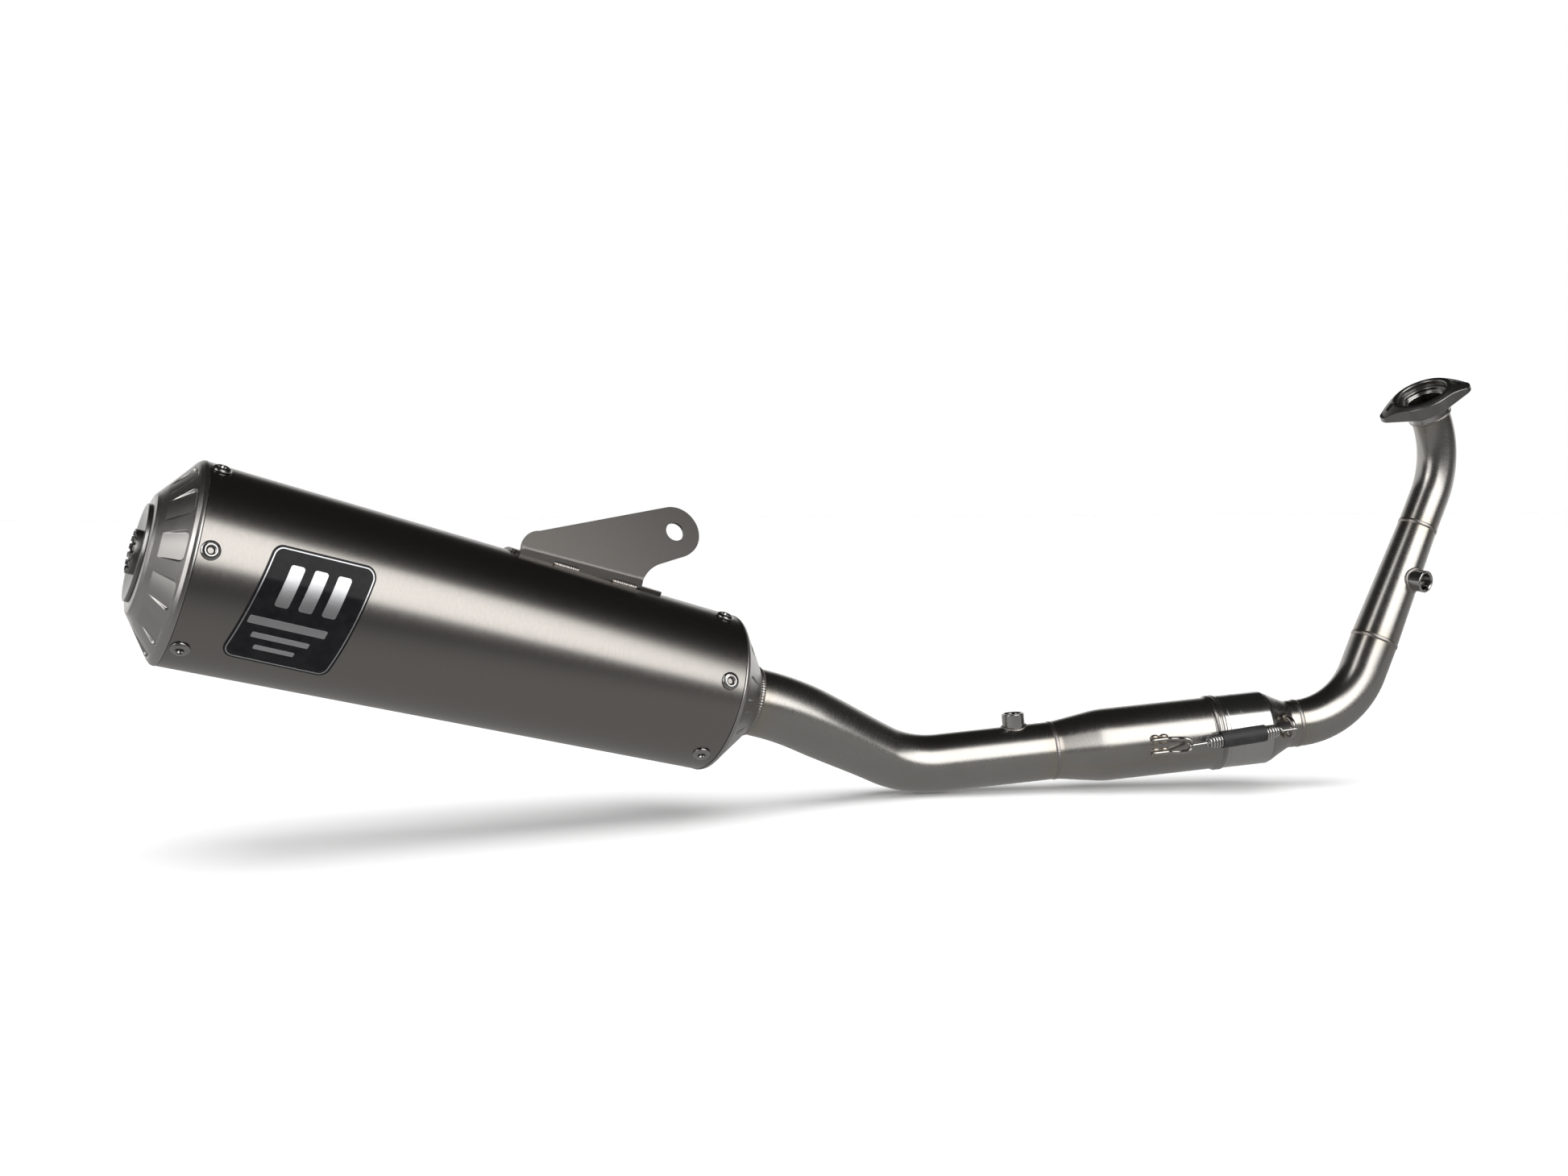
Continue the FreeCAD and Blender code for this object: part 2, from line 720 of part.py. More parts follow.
def bracket_local():
    """Folded hanger: a foot along the sleeve, a short upright and a plate leaning inwards."""
    lean = math.radians(bracket_lean)
    plate_x = V(0, 0, 1)
    plate_y = V(math.cos(lean), math.sin(lean), 0)
    inward = V(-math.sin(lean), math.cos(lean), 0)
    fold = V(fold_height, -fold_offset, 0)

    def spot(t, b):
        return fold + plate_x * t + plate_y * b

    c = bracket_hole_at
    low = tangent_point((59.0, 15.0), c, bracket_end_r, -1.0)
    high = tangent_point((145.1, 14.5), c, bracket_end_r, 1.0)
    tip = (c[0] - bracket_end_r, c[1])
    outline = [
        Part.Arc(spot(70.8, 0), spot(65.6, 9.3), spot(59.0, 15.0)).toShape(),
        Part.LineSegment(spot(59.0, 15.0), spot(*low)).toShape(),
        Part.Arc(spot(*low), spot(*tip), spot(*high)).toShape(),
        Part.LineSegment(spot(*high), spot(145.1, 14.5)).toShape(),
        Part.Arc(spot(145.1, 14.5), spot(153.1, 9.6), spot(156.0, 0)).toShape(),
        Part.LineSegment(spot(156.0, 0), spot(70.8, 0)).toShape()]
    plate = Part.Face(Part.Wire(outline)).extrude(inward * bracket_sheet)
    hole = Part.makeCylinder(bracket_hole_r, 20.0, spot(*c) - inward * 8.0, inward)
    upright = Part.makeBox(fold_height - 45.0, bracket_sheet, 85.2, V(45.0, -fold_offset, 70.8))
    foot = revolved([
        (sleeve_r(55.0), 55.0), (sleeve_r(55.0) + 2.0, 55.0),
        (sleeve_r(161.0) + 2.0, 161.0), (sleeve_r(161.0), 161.0)], 33.0)
    foot.rotate(V(0, 0, 0), V(0, 0, 1), -10.6)
    body = plate.cut(hole).fuse([upright, foot]).cut(sleeve_core_solid())
    return body.removeSplitter()


def support_bracket():
    return put(bracket_local(), muffler_place)


def bracket_welds():
    solid = sleeve_core_solid()
    bracket = bracket_local()
    group = []
    for low, high in ((75.0, 91.0), (116.0, 132.0)):
        a = V(math.sqrt(sleeve_r(low) ** 2 - 136.0) + 0.6, -fold_offset - 0.5, low)
        b = V(math.sqrt(sleeve_r(high) ** 2 - 136.0) + 0.6, -fold_offset - 0.5, high)
        bar = Part.makeCylinder(1.5, (b - a).Length, a, b - a)
        bar = bar.fuse([Part.makeSphere(1.5, a), Part.makeSphere(1.5, b)])
        group += bar.cut(solid).cut(bracket).Solids
    return put(Part.makeCompound(group), muffler_place)


def on_sleeve(corners, low, high, rounding):
    """Plate wrapped on the sleeve: an outline in (station, height) seen square to its middle."""
    middle = around(badge_angle)
    upward = around(badge_angle - 90.0)
    points = [middle * 30.0 + upward * b + V(0, 0, t) for t, b in corners]
    prism = Part.Face(Part.makePolygon(points + [points[0]])).extrude(middle * 60.0)
    if rounding > 0.0:
        sides = [e for e in prism.Edges if abs(e.tangentAt(0.0).dot(middle)) > 0.99]
        prism = prism.makeFillet(rounding, sides)
    shell = revolved([
        (sleeve_r(235.0) + low, 235.0), (sleeve_r(235.0) + high, 235.0),
        (sleeve_r(340.0) + high, 340.0), (sleeve_r(340.0) + low, 340.0)])
    return put(prism.common(shell), muffler_place)


def badge_plate():
    return on_sleeve([(249, 36), (312, 36), (326, -36), (262, -36)], 0.02, 0.8, 8.0)


def badge_emblem():
    """Plain silver bars: three slanted strokes above two rules."""
    group = []
    for k in range(3):
        t = 266.0 + 13.0 * k
        group += on_sleeve([(t, 26), (t + 7, 26), (t + 11.5, 3), (t + 4.5, 3)], 0.82, 1.1, 0.0).Solids
    group += on_sleeve([(268, -6), (313, -6), (313.8, -10), (268.8, -10)], 0.82, 1.1, 0.0).Solids
    group += on_sleeve([(274, -16), (309, -16), (309.6, -19), (274.6, -19)], 0.82, 1.1, 0.0).Solids
    return Part.makeCompound(group)


cone_part = header_cone().cut(boss_drill(header_boss_place()))
boss_part = sensor_boss(header_boss_place(), 15.6)
boss_part = boss_part.cut(header_taper(0.01))
hook_part = header_spring_hook()
link_part = link_pipe()
link_boss_part = sensor_boss(link_boss_place(), link_r)
link_hook_part = link_spring_hook()
chamber_part = link_chamber()
front_cap_part = inlet_cap()

save(port_flange(), "port_flange")
save(port_collar(), "port_collar")
save(header_upper_bend(), "header_upper_bend")
save(cone_part, "header_cone")
save(header_lower_bend(), "header_lower_bend")
save(boss_part, "header_sensor_boss")
save(chamber_cone(), "chamber_cone")
save(slip_socket(), "slip_socket")
save(hook_part, "header_spring_hook")
save(header_welds([cone_part, boss_part, hook_part, neck_solid()]), "header_welds")
save(slip_spigot(), "slip_spigot")
save(chamber_part, "link_chamber")
save(link_cone(), "link_cone")
save(link_part, "link_pipe")
save(link_boss_part, "link_sensor_boss")
save(link_hook_part, "link_spring_hook")
save(link_welds([
    link_cone(), link_part, link_boss_part, link_hook_part, chamber_part, front_cap_part]), "link_welds")
save(joint_spring(), "joint_spring")
save(spring_rubber(), "spring_rubber")
save(front_cap_part, "inlet_cap")
save(outer_sleeve(), "outer_sleeve")
save(outlet_cap(), "outlet_cap")
save(outlet_ring(), "outlet_ring")
save(outlet_tube(), "outlet_tube")
save(perforated_core(), "perforated_core")
save(core_end_plate(), "core_end_plate")
save(rear_baffle(), "rear_baffle")
save(sound_packing(), "sound_packing")
save(rivets(rivet_front), "front_rivets")
save(rivets(rivet_rear), "rear_rivets")
save(support_bracket(), "support_bracket")
save(bracket_welds(), "bracket_welds")
save(badge_plate(), "badge_plate")
save(badge_emblem(), "badge_emblem")
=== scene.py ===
import math

import bpy
import numpy as np
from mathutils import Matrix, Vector
from mathutils.geometry import delaunay_2d_cdt


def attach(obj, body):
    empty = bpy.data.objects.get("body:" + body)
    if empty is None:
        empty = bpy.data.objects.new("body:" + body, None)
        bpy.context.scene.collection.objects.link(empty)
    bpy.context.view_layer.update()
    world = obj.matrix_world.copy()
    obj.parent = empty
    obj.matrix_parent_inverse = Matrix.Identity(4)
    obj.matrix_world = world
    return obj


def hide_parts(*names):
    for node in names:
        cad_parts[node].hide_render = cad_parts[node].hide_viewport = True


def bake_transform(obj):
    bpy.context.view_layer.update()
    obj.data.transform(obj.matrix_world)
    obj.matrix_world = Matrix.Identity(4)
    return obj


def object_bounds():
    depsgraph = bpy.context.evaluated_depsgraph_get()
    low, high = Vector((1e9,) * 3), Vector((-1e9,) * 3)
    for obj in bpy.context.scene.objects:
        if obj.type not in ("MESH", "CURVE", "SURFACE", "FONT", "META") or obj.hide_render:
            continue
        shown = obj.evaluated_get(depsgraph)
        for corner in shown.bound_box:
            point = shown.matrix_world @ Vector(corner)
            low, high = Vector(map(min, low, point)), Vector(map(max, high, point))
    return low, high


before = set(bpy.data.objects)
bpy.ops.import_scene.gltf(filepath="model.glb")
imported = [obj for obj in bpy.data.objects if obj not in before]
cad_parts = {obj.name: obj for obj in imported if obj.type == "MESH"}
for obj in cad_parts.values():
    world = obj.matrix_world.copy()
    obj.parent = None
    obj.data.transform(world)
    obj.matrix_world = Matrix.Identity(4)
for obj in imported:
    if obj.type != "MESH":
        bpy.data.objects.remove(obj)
cad_box = [[float(c) for c in corner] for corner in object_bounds()]

TAU = 2.0 * math.pi


# ---------------------------------------------------------------- frames, in mm
def vec(*a):
    return np.array(a, float)


def unit(v):
    return np.asarray(v, float) / np.linalg.norm(v)


class Place:
    """Origin and three axes; local millimetres in, row-frame millimetres out."""

    def __init__(self, origin, z, hint):
        self.o = np.asarray(origin, float)
        self.z = unit(z)
        self.x = unit(hint - self.z * np.dot(hint, self.z))
        self.y = np.cross(self.z, self.x)

    def point(self, p):
        return self.o + self.turn(p)

    def turn(self, p):
        p = np.asarray(p, float)
        return p[..., :1] * self.x + p[..., 1:2] * self.y + p[..., 2:3] * self.z


UP = vec(0, 0, 1)
FRONT = vec(0, -1, 0)
CORNER_UPPER = vec(24.0, 12.0, -42.5)
CORNER_LOWER = vec(-62.0, -12.0, -234.0)
CORNER_REAR = vec(-390.0, -12.0, -262.0)
CORNER_MUFFLER = vec(-481.0, -38.0, -216.0)
TAIL_POINT = vec(-861.0, -140.0, -107.0)
FLANGE_LINE = vec(0.836, -0.419, 0.354)

# Stations: the header's from its upper corner, the others from its lower corner along the slip line.
CONE_START, CONE_END, HEADER_BOSS = 58.0, 149.6, 99.0
NECK, SOCKET, CHAMBER, LINK_CONE, LINK_PIPE, LINK_BOSS = 39.0, 65.6, 108.5, 182.0, 223.4, 249.4
# Outer radii of the pipes, the wall of them all, and the bend radius of the header.
UPPER_R, LOWER_R, CHAMBER_R, LINK_R, INLET_R = 14.0, 17.0, 25.8, 20.5, 23.0
WALL, HEADER_BEND = 1.5, 62.0
# The sleeve's front radius, its flare and length, the way from its front edge to the tail point, and the
# angle of the first rivet and recess in degrees.
SLEEVE_R, SLEEVE_FLARE, SLEEVE_LENGTH, FRONT_TO_TAIL = 53.0, 10.0, 354.0, 352.0
FIRST_RIVET = 18.5

SLIP = unit(CORNER_REAR - CORNER_LOWER)
DOWN = unit(CORNER_LOWER - CORNER_UPPER)
PORT_DOWN = unit(CORNER_UPPER)
AXIS = unit(TAIL_POINT - CORNER_MUFFLER)
MUFFLER_FRONT = TAIL_POINT - AXIS * FRONT_TO_TAIL

port = Place(vec(0, 0, 0), -PORT_DOWN, FLANGE_LINE)
collar = Place(vec(0, 0, 0), PORT_DOWN, FLANGE_LINE)
header = Place(CORNER_UPPER, DOWN, FRONT)
slip = Place(CORNER_LOWER, SLIP, UP)
muffler = Place(MUFFLER_FRONT, AXIS, UP)
header_boss_at = Place(CORNER_UPPER + DOWN * HEADER_BOSS, vec(0.4343, -0.8936, -0.0826), DOWN)
link_boss_at = Place(CORNER_LOWER + SLIP * LINK_BOSS, UP - SLIP * SLIP[2], SLIP)


# ---------------------------------------------------------------- mesh building
def smoothstep(a, b, x):
    t = np.clip((x - a) / (b - a), 0.0, 1.0)
    return t * t * (3.0 - 2.0 * t)


def unit_rows(a):
    return a / np.linalg.norm(a, axis=-1, keepdims=True)


def circle(n):
    """The angles of n even steps round a circle, with their cosines and sines."""
    t = np.arange(n) * TAU / n
    return t, np.cos(t), np.sin(t)


def polar(r, c, s, z):
    """Points, or normals, at radius r and height z for each cosine and sine."""
    return np.stack([r * c, r * s, z + 0 * c], -1)


def travelled(path):
    """The distance from the start of a path to each of its points."""
    return np.concatenate([[0], np.cumsum(np.linalg.norm(np.diff(path, axis=0), axis=1))])


def facing(du, dv, no):
    """The unit normals of a grid whose directions are du and dv, on the side of the given normals."""
    n = np.cross(du, dv)
    n /= np.maximum(np.linalg.norm(n, axis=-1, keepdims=True), 1e-9)
    return n * np.sign(np.sum(n * no, -1, keepdims=True))


def across(co, axis):
    """From the point before to the point after, in a grid that closes on itself."""
    return np.roll(co, -1, axis) - np.roll(co, 1, axis)


class Piece:
    """A mesh gathered from rows of points, each with its own normal and its unbent texture place."""

    def __init__(self):
        self.co, self.no, self.lay, self.warm = [], [], [], []
        self.quads, self.tris = [], []
        self.count = 0

    def points(self, co, no, lay, warm=None):
        co, no, lay = (np.asarray(a, float).reshape(-1, 3) for a in (co, no, lay))
        self.co.append(co)
        self.no.append(no / np.maximum(np.linalg.norm(no, axis=1, keepdims=True), 1e-9))
        self.lay.append(lay)
        self.warm.append(np.zeros(len(co)) if warm is None else np.asarray(warm, float).reshape(-1))
        first = self.count
        self.count += len(co)
        return np.arange(first, self.count)

    def rows(self, co, no, lay, wrap_u=True, wrap_v=False, warm=None):
        """A grid of points and its faces, the first index across the rows. Returns the point numbers."""
        index = self.points(co, no, lay, warm).reshape(co.shape[:2])
        grid = index
        if wrap_u:
            grid = np.concatenate([grid, grid[:, :1]], 1)
        if wrap_v:
            grid = np.concatenate([grid, grid[:1]], 0)
        quads = np.stack([grid[:-1, :-1], grid[:-1, 1:], grid[1:, 1:], grid[1:, :-1]], -1).reshape(-1, 4)
        corner, normal = (a.reshape(-1, 3)[quads - index[0, 0]] for a in (co, no))
        face = np.cross(corner[:, 2] - corner[:, 0], corner[:, 3] - corner[:, 1])
        if np.sum(face * normal.mean(1)) < 0:
            quads = quads[:, ::-1]
        self.quads.append(quads)
        return index

    def pole(self, ring, point, normal, lay):
        """Closes a ring of points with a fan."""
        tip = self.points([point], [normal], [lay])[0]
        co = np.concatenate(self.co)
        nxt = np.roll(ring, -1)
        face = np.cross(co[ring] - co[tip], co[nxt] - co[tip])
        tris = np.stack([np.full(len(ring), tip), ring, nxt], 1)
        if np.sum(face @ np.asarray(normal, float)) < 0:
            tris = tris[:, ::-1]
        self.tris.append(tris)

    def fill(self, loops, flat):
        """Triangles between an outer loop and its holes. flat gives each point number's 2D place."""
        numbers = np.concatenate(loops)
        rest = [k for k in flat if k not in set(numbers.tolist())]
        edges, base = [], 0
        for loop in loops:
            n = len(loop)
            edges += [(base + i, base + (i + 1) % n) for i in range(n)]
            base += n
        numbers = list(numbers) + rest
        spots = [Vector((float(flat[k][0]), float(flat[k][1]))) for k in numbers]
        out = delaunay_2d_cdt(spots, edges, [], 0, 1e-6)
        origin = [o[0] for o in out[3]]
        tris = np.array([[origin[i] for i in f] for f in out[2] if len(f) == 3])
        xy = np.array([[s.x, s.y] for s in spots])
        centre = xy[tris].mean(1)
        keep, base = np.ones(len(tris), bool), 0
        for i, loop in enumerate(loops):
            inside = within(centre, xy[base:base + len(loop)])
            keep &= inside if i == 0 else ~inside
            base += len(loop)
        tris = np.array(numbers)[tris[keep]]
        co = np.concatenate(self.co)
        face = np.cross(co[tris[:, 1]] - co[tris[:, 0]], co[tris[:, 2]] - co[tris[:, 0]])
        flip = np.sum(face * np.concatenate(self.no)[tris].mean(1), 1) < 0
        tris[flip] = tris[flip][:, ::-1]
        self.tris.append(tris)

    def build(self, name, body, slot, material, *nodes):
        quads = np.concatenate(self.quads) if self.quads else np.zeros((0, 4), int)
        tris = np.concatenate(self.tris) if self.tris else np.zeros((0, 3), int)
        me = bpy.data.meshes.new(name)
        me.vertices.add(self.count)
        me.vertices.foreach_set("co", (np.concatenate(self.co) / 1000.0).astype(np.float32).ravel())
        me.loops.add(quads.size + tris.size)
        me.loops.foreach_set("vertex_index", np.concatenate([quads.ravel(), tris.ravel()]).astype(np.int32))
        me.polygons.add(len(quads) + len(tris))
        starts = np.concatenate([np.arange(len(quads)) * 4, quads.size + np.arange(len(tris)) * 3])
        me.polygons.foreach_set("loop_start", starts.astype(np.int32))
        me.update(calc_edges=True)
        me.shade_smooth()
        me.normals_split_custom_set_from_vertices(np.concatenate(self.no).astype(np.float32))
        lay = me.attributes.new("lay", "FLOAT_VECTOR", "POINT")
        lay.data.foreach_set("vector", (np.concatenate(self.lay) / 1000.0).astype(np.float32).ravel())
        warm = me.attributes.new("warm", "FLOAT", "POINT")
        warm.data.foreach_set("value", np.concatenate(self.warm).astype(np.float32))
        obj = bpy.data.objects.new(name, me)
        bpy.context.scene.collection.objects.link(obj)
        me.materials.append(material)
        if body:
            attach(obj, body)
        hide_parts(*nodes)
        return obj


def within(p, loop):
    """Which points lie inside a closed 2D loop."""
    x, y = p[:, 0][:, None], p[:, 1][:, None]
    a, b = loop, np.roll(loop, -1, 0)
    rise = np.where(b[:, 1] == a[:, 1], 1e-12, b[:, 1] - a[:, 1])
    crossing = (b[:, 0] - a[:, 0]) * (y - a[:, 1]) / rise + a[:, 0]
    return (np.sum(((a[:, 1] > y) != (b[:, 1] > y)) & (x < crossing), 1) % 2) == 1


def right_of(a, b):
    """The unit normal on the right of the line from a to b."""
    return unit(vec(b[1] - a[1], a[0] - b[0]))


def eased(points, radius, steps=4, closed=True):
    """An outline with rounded corners: its points and its outward normals.

    The outline runs so that its outer side is on its right. A point's third number is its own radius.
    """
    pts = [np.asarray(p[:2], float) for p in points]
    radii = [p[2] if len(p) > 2 else radius for p in points]
    out, nrm = [], []
    for i, p in enumerate(pts):
        if not closed and i in (0, len(pts) - 1):
            out.append(p)
            nrm.append(right_of(*(pts[:2] if i == 0 else pts[-2:])))
            continue
        a, b = pts[i - 1], pts[(i + 1) % len(pts)]
        n0, n1 = right_of(a, p), right_of(p, b)
        turn = math.acos(float(np.clip(np.dot(n0, n1), -1, 1)))
        if turn < 0.02 or radii[i] <= 0:
            out.append(p)
            nrm.append(unit(n0 + n1))
            continue
        reach = min(radii[i] * math.tan(turn / 2), 0.45 * np.linalg.norm(p - a), 0.45 * np.linalg.norm(b - p))
        spin = 1.0 if n0[0] * n1[1] - n0[1] * n1[0] > 0 else -1.0
        rad = reach / math.tan(turn / 2)
        centre = p + unit(a - p) * reach - n0 * rad * spin
        for k in range(steps + 1):
            c, s = math.cos(spin * turn * k / steps), math.sin(spin * turn * k / steps)
            m = vec(n0[0] * c - n0[1] * s, n0[0] * s + n0[1] * c)
            out.append(centre + m * rad * spin)
            nrm.append(m)
    return np.array(out), np.array(nrm)


def dense(points, gap):
    """The polyline with long runs divided, so that it can carry relief."""
    out = [points[0]]
    for a, b in zip(points[:-1], points[1:]):
        leg = np.subtract(b[:2], a[:2])
        n = max(1, int(math.ceil(np.linalg.norm(leg) / gap)))
        out += [tuple(np.add(a[:2], leg * k / n)) for k in range(1, n)] + [b]
    return out


def spun(outline, normals, place, turns):
    """Points, normals and texture places of an outline of (radius, height) turned about Z."""
    _, c, s = circle(turns)
    local = polar(outline[:, :1], c, s, outline[:, 1:])
    return place.point(local), place.turn(polar(normals[:, :1], c, s, normals[:, 1:])), local


def outward(outline):
    """The outline turned so that its outer side is on its right, as eased expects."""
    p = np.array([q[:2] for q in outline], float)
    area = np.sum(p[:, 0] * np.roll(p[:, 1], -1) - np.roll(p[:, 0], -1) * p[:, 1])
    return list(outline) if area > 0 else list(outline)[::-1]


def turned(outline, place, name, body, finish, node, turns=224, radius=0.3, warm=None):
    """A closed ring turned about the place's Z, built as a piece of its own."""
    pts, nrm = eased(outward(outline), radius)
    co, no, lay = spun(pts, nrm, place, turns)
    piece = Piece()
    piece.rows(co, no, lay, wrap_v=True, warm=None if warm is None else warm(lay[..., 2]))
    piece.build(name, body, *finish, node)


def knob(piece, outline, place):
    """A solid turned about Z, from one point on the axis to another."""
    pts, nrm = eased(outline, 0.25, 3, closed=False)
    co, no, lay = spun(pts[1:-1], nrm[1:-1], place, 64)
    index = piece.rows(co, no, lay)
    for end in (0, -1):
        z = vec(0, 0, pts[end][1])
        normal = place.turn(vec(0, 0, 1.0 if nrm[end][1] > 0 else -1.0))
        piece.pole(index[end], place.point(z), normal, z)


def arc_between(before, corner, after, radius, steps):
    """Points of the bend that rounds a corner of the centre line."""
    a, b = unit(before - corner), unit(after - corner)
    half = math.acos(float(np.dot(a, b))) / 2
    reach = radius / math.tan(half)
    centre = corner + unit(a + b) * radius / math.sin(half)
    u, w = unit(corner + a * reach - centre), unit(corner + b * reach - centre)
    sweep = math.acos(float(np.dot(u, w)))
    side = unit(w - u * np.dot(u, w))
    return [centre + radius * (u * math.cos(sweep * k / steps) + side * math.sin(sweep * k / steps))
            for k in range(steps + 1)]


def run(a, b, gap):
    """Points of a straight run, about a gap apart."""
    n = max(1, int(np.linalg.norm(b - a) / gap))
    return [a + (b - a) * k / n for k in range(n + 1)]


def joined(*parts):
    """One path from several, without the points they share."""
    out = []
    for part in parts:
        for p in part:
            if not out or np.linalg.norm(p - out[-1]) > 1e-6:
                out.append(np.asarray(p, float))
    return np.array(out)


def carried(path, hint):
    """Tangents and two side directions carried along a path without twist."""
    t = np.gradient(path, axis=0)
    t /= np.linalg.norm(t, axis=1, keepdims=True)
    xs = [unit(hint - t[0] * np.dot(hint, t[0]))]
    for tangent in t[1:]:
        xs.append(unit(xs[-1] - tangent * np.dot(xs[-1], tangent)))
    xs = np.array(xs)
    return t, xs, np.cross(t, xs)


def tube(piece, path, radii, hint, around=96, station=0.0, warm=None, wall=None):
    """A round pipe along a path, with an inner skin if it is given a wall's thickness."""
    t, x, y = carried(path, hint)
    step = travelled(path) + station
    _, c, s = circle(around)
    radii = np.broadcast_to(radii, len(path)).astype(float)
    spoke = x[:, None] * c[:, None] + y[:, None] * s[:, None]
    no = spoke - t[:, None] * np.gradient(radii, step)[:, None, None]
    co = path[:, None] + spoke * radii[:, None, None]
    lay = polar(radii[:, None], c, s, step[:, None])
    w = np.zeros(co.shape[:2]) if warm is None else warm(lay[..., 2])
    if wall is None:
        return piece.rows(co, no, lay, warm=w)
    inner = path[:, None] + spoke * (radii - wall)[:, None, None]
    return piece.rows(np.concatenate([co, inner[::-1]]), np.concatenate([no, -no[::-1]]),
                      np.concatenate([lay, lay[::-1]]), wrap_v=True, warm=np.concatenate([w, w[::-1]]))


def wire(piece, path, r, hint, around=20):
    """Round wire whose ends close in three steps: each a share of the radius and a place along the wire."""
    ends = [(0.94, 0.06), (0.72, 0.3), (0.42, 0.55)]
    t, _, _ = carried(path, hint)
    head = [path[0] - t[0] * r * (k - 0.55) for _, k in ends[::-1]]
    tail = [path[-1] + t[-1] * r * (k - 0.55) for _, k in ends]
    body = list(path[1:-1])
    whole = np.array(head + body + tail)
    radii = np.array([r * q for q, _ in ends[::-1]] + [r] * len(body) + [r * q for q, _ in ends])
    index = tube(piece, whole, radii, hint, around)
    for end, out in ((0, -t[0]), (-1, t[-1])):
        piece.pole(index[end], whole[end] + out * 0.1 * r, out, vec(0, 0, 0))


def through(points, per=10):
    """A smooth curve through the points."""
    p = [np.asarray(q, float) for q in points]
    p = [2 * p[0] - p[1]] + p + [2 * p[-1] - p[-2]]
    out = []
    for i in range(1, len(p) - 2):
        a, b, c, d = p[i - 1:i + 3]
        for t in np.arange(per) / per:
            out.append(0.5 * (2 * b + (c - a) * t + (2 * a - 5 * b + 4 * c - d) * t ** 2
                              + (3 * b - a - 3 * c + d) * t ** 3))
    out.append(p[-2])
    return np.array(out)


def weld_along(piece, path, out, side, width, height, pitch, closed, seed):
    """A rippled weld bead along a path on a surface, with out and side its two directions."""
    step = np.linalg.norm(np.diff(np.concatenate([path, path[:1]]) if closed else path, axis=0), axis=1)
    s = np.concatenate([[0], np.cumsum(step)])[:len(path)]
    length = float(np.sum(step))
    beats = max(3, round(length / pitch))
    wobble = np.random.default_rng(seed).normal(0, 1, (2, 6))
    phase = s / length * TAU
    drift = sum(wobble[0, k] * np.cos((k + 2) * phase) + wobble[1, k] * np.sin((k + 2) * phase)
                for k in range(6)) / 6
    lanes = np.linspace(-1, 1, 15)
    co, no, lay = [], [], []
    for x in lanes:
        beat = (beats * phase / TAU + 0.55 * x * x) % 1.0
        ripple = 0.5 + 0.5 * np.cos(TAU * beat) + 0.25 * (1 - beat)
        dome = math.sqrt(max(0.0, 1 - x * x))
        h = height * dome * (0.82 + 0.16 * ripple + 0.10 * drift) - 0.12 * (1 - dome)
        w = width * x * (1 + 0.05 * drift + 0.04 * ripple)
        co.append(path + out * h[:, None] + side * w[:, None])
        no.append(out * max(dome, 0.05) + side * x)
        lay.append(np.stack([w, h, s], -1))
    middle = len(lanes) // 2
    co, no, lay = np.array(co + [path - out * 0.6]), np.array(no + [-out]), np.array(lay + [lay[middle]])
    top, guess = co[:-1], no[:-1]
    du = across(top, 1) if closed else np.gradient(top, axis=1)
    no[:-1] = unit_rows(facing(du, np.gradient(top, axis=0), guess) * 0.85 + guess * 0.15)
    index = piece.rows(co, no, lay, wrap_u=closed, wrap_v=True, warm=np.ones(co.shape[:2]))
    if not closed:
        for end, outer in ((0, unit(path[0] - path[1])), (-1, unit(path[-1] - path[-2]))):
            tip = path[end] + outer * width * 0.5 + out[end] * height * 0.15
            piece.pole(index[:, end], tip, outer + out[end], vec(0, 0, 0))


def ring_weld(piece, place, radius, station, width, height, pitch, seed, slope=0.0):
    """A bead round the place's Z, leaning back by the slope in radians."""
    _, c, s = circle(max(120, int(TAU * radius / pitch) * 8))
    spoke = place.turn(polar(1, c, s, 0))
    out = spoke * math.cos(slope) + place.z * math.sin(slope)
    side = place.z * math.cos(slope) - spoke * math.sin(slope)
    path = place.o + place.z * station + spoke * radius
    weld_along(piece, path, out, side, width, height, pitch, True, seed)


def saddle_weld(piece, place, pipe_r, seed):
    """The bead where a boss stands on a pipe that runs along the place's X."""
    _, c, s = circle(320)
    ring_r = BOSS_R + 0.45
    z = np.sqrt(pipe_r ** 2 - (ring_r * s) ** 2)
    path = place.point(polar(ring_r, c, s, z))
    pipe_out = np.stack([0 * s, ring_r * s / pipe_r, z / pipe_r], -1)
    out = unit_rows(place.turn(pipe_out * 0.75 + polar(1, c, s, 0) * 0.65))
    side = np.cross(out, unit_rows(across(path, 0)))
    weld_along(piece, path, out, side, 1.25, 0.9, 1.5, True, seed)


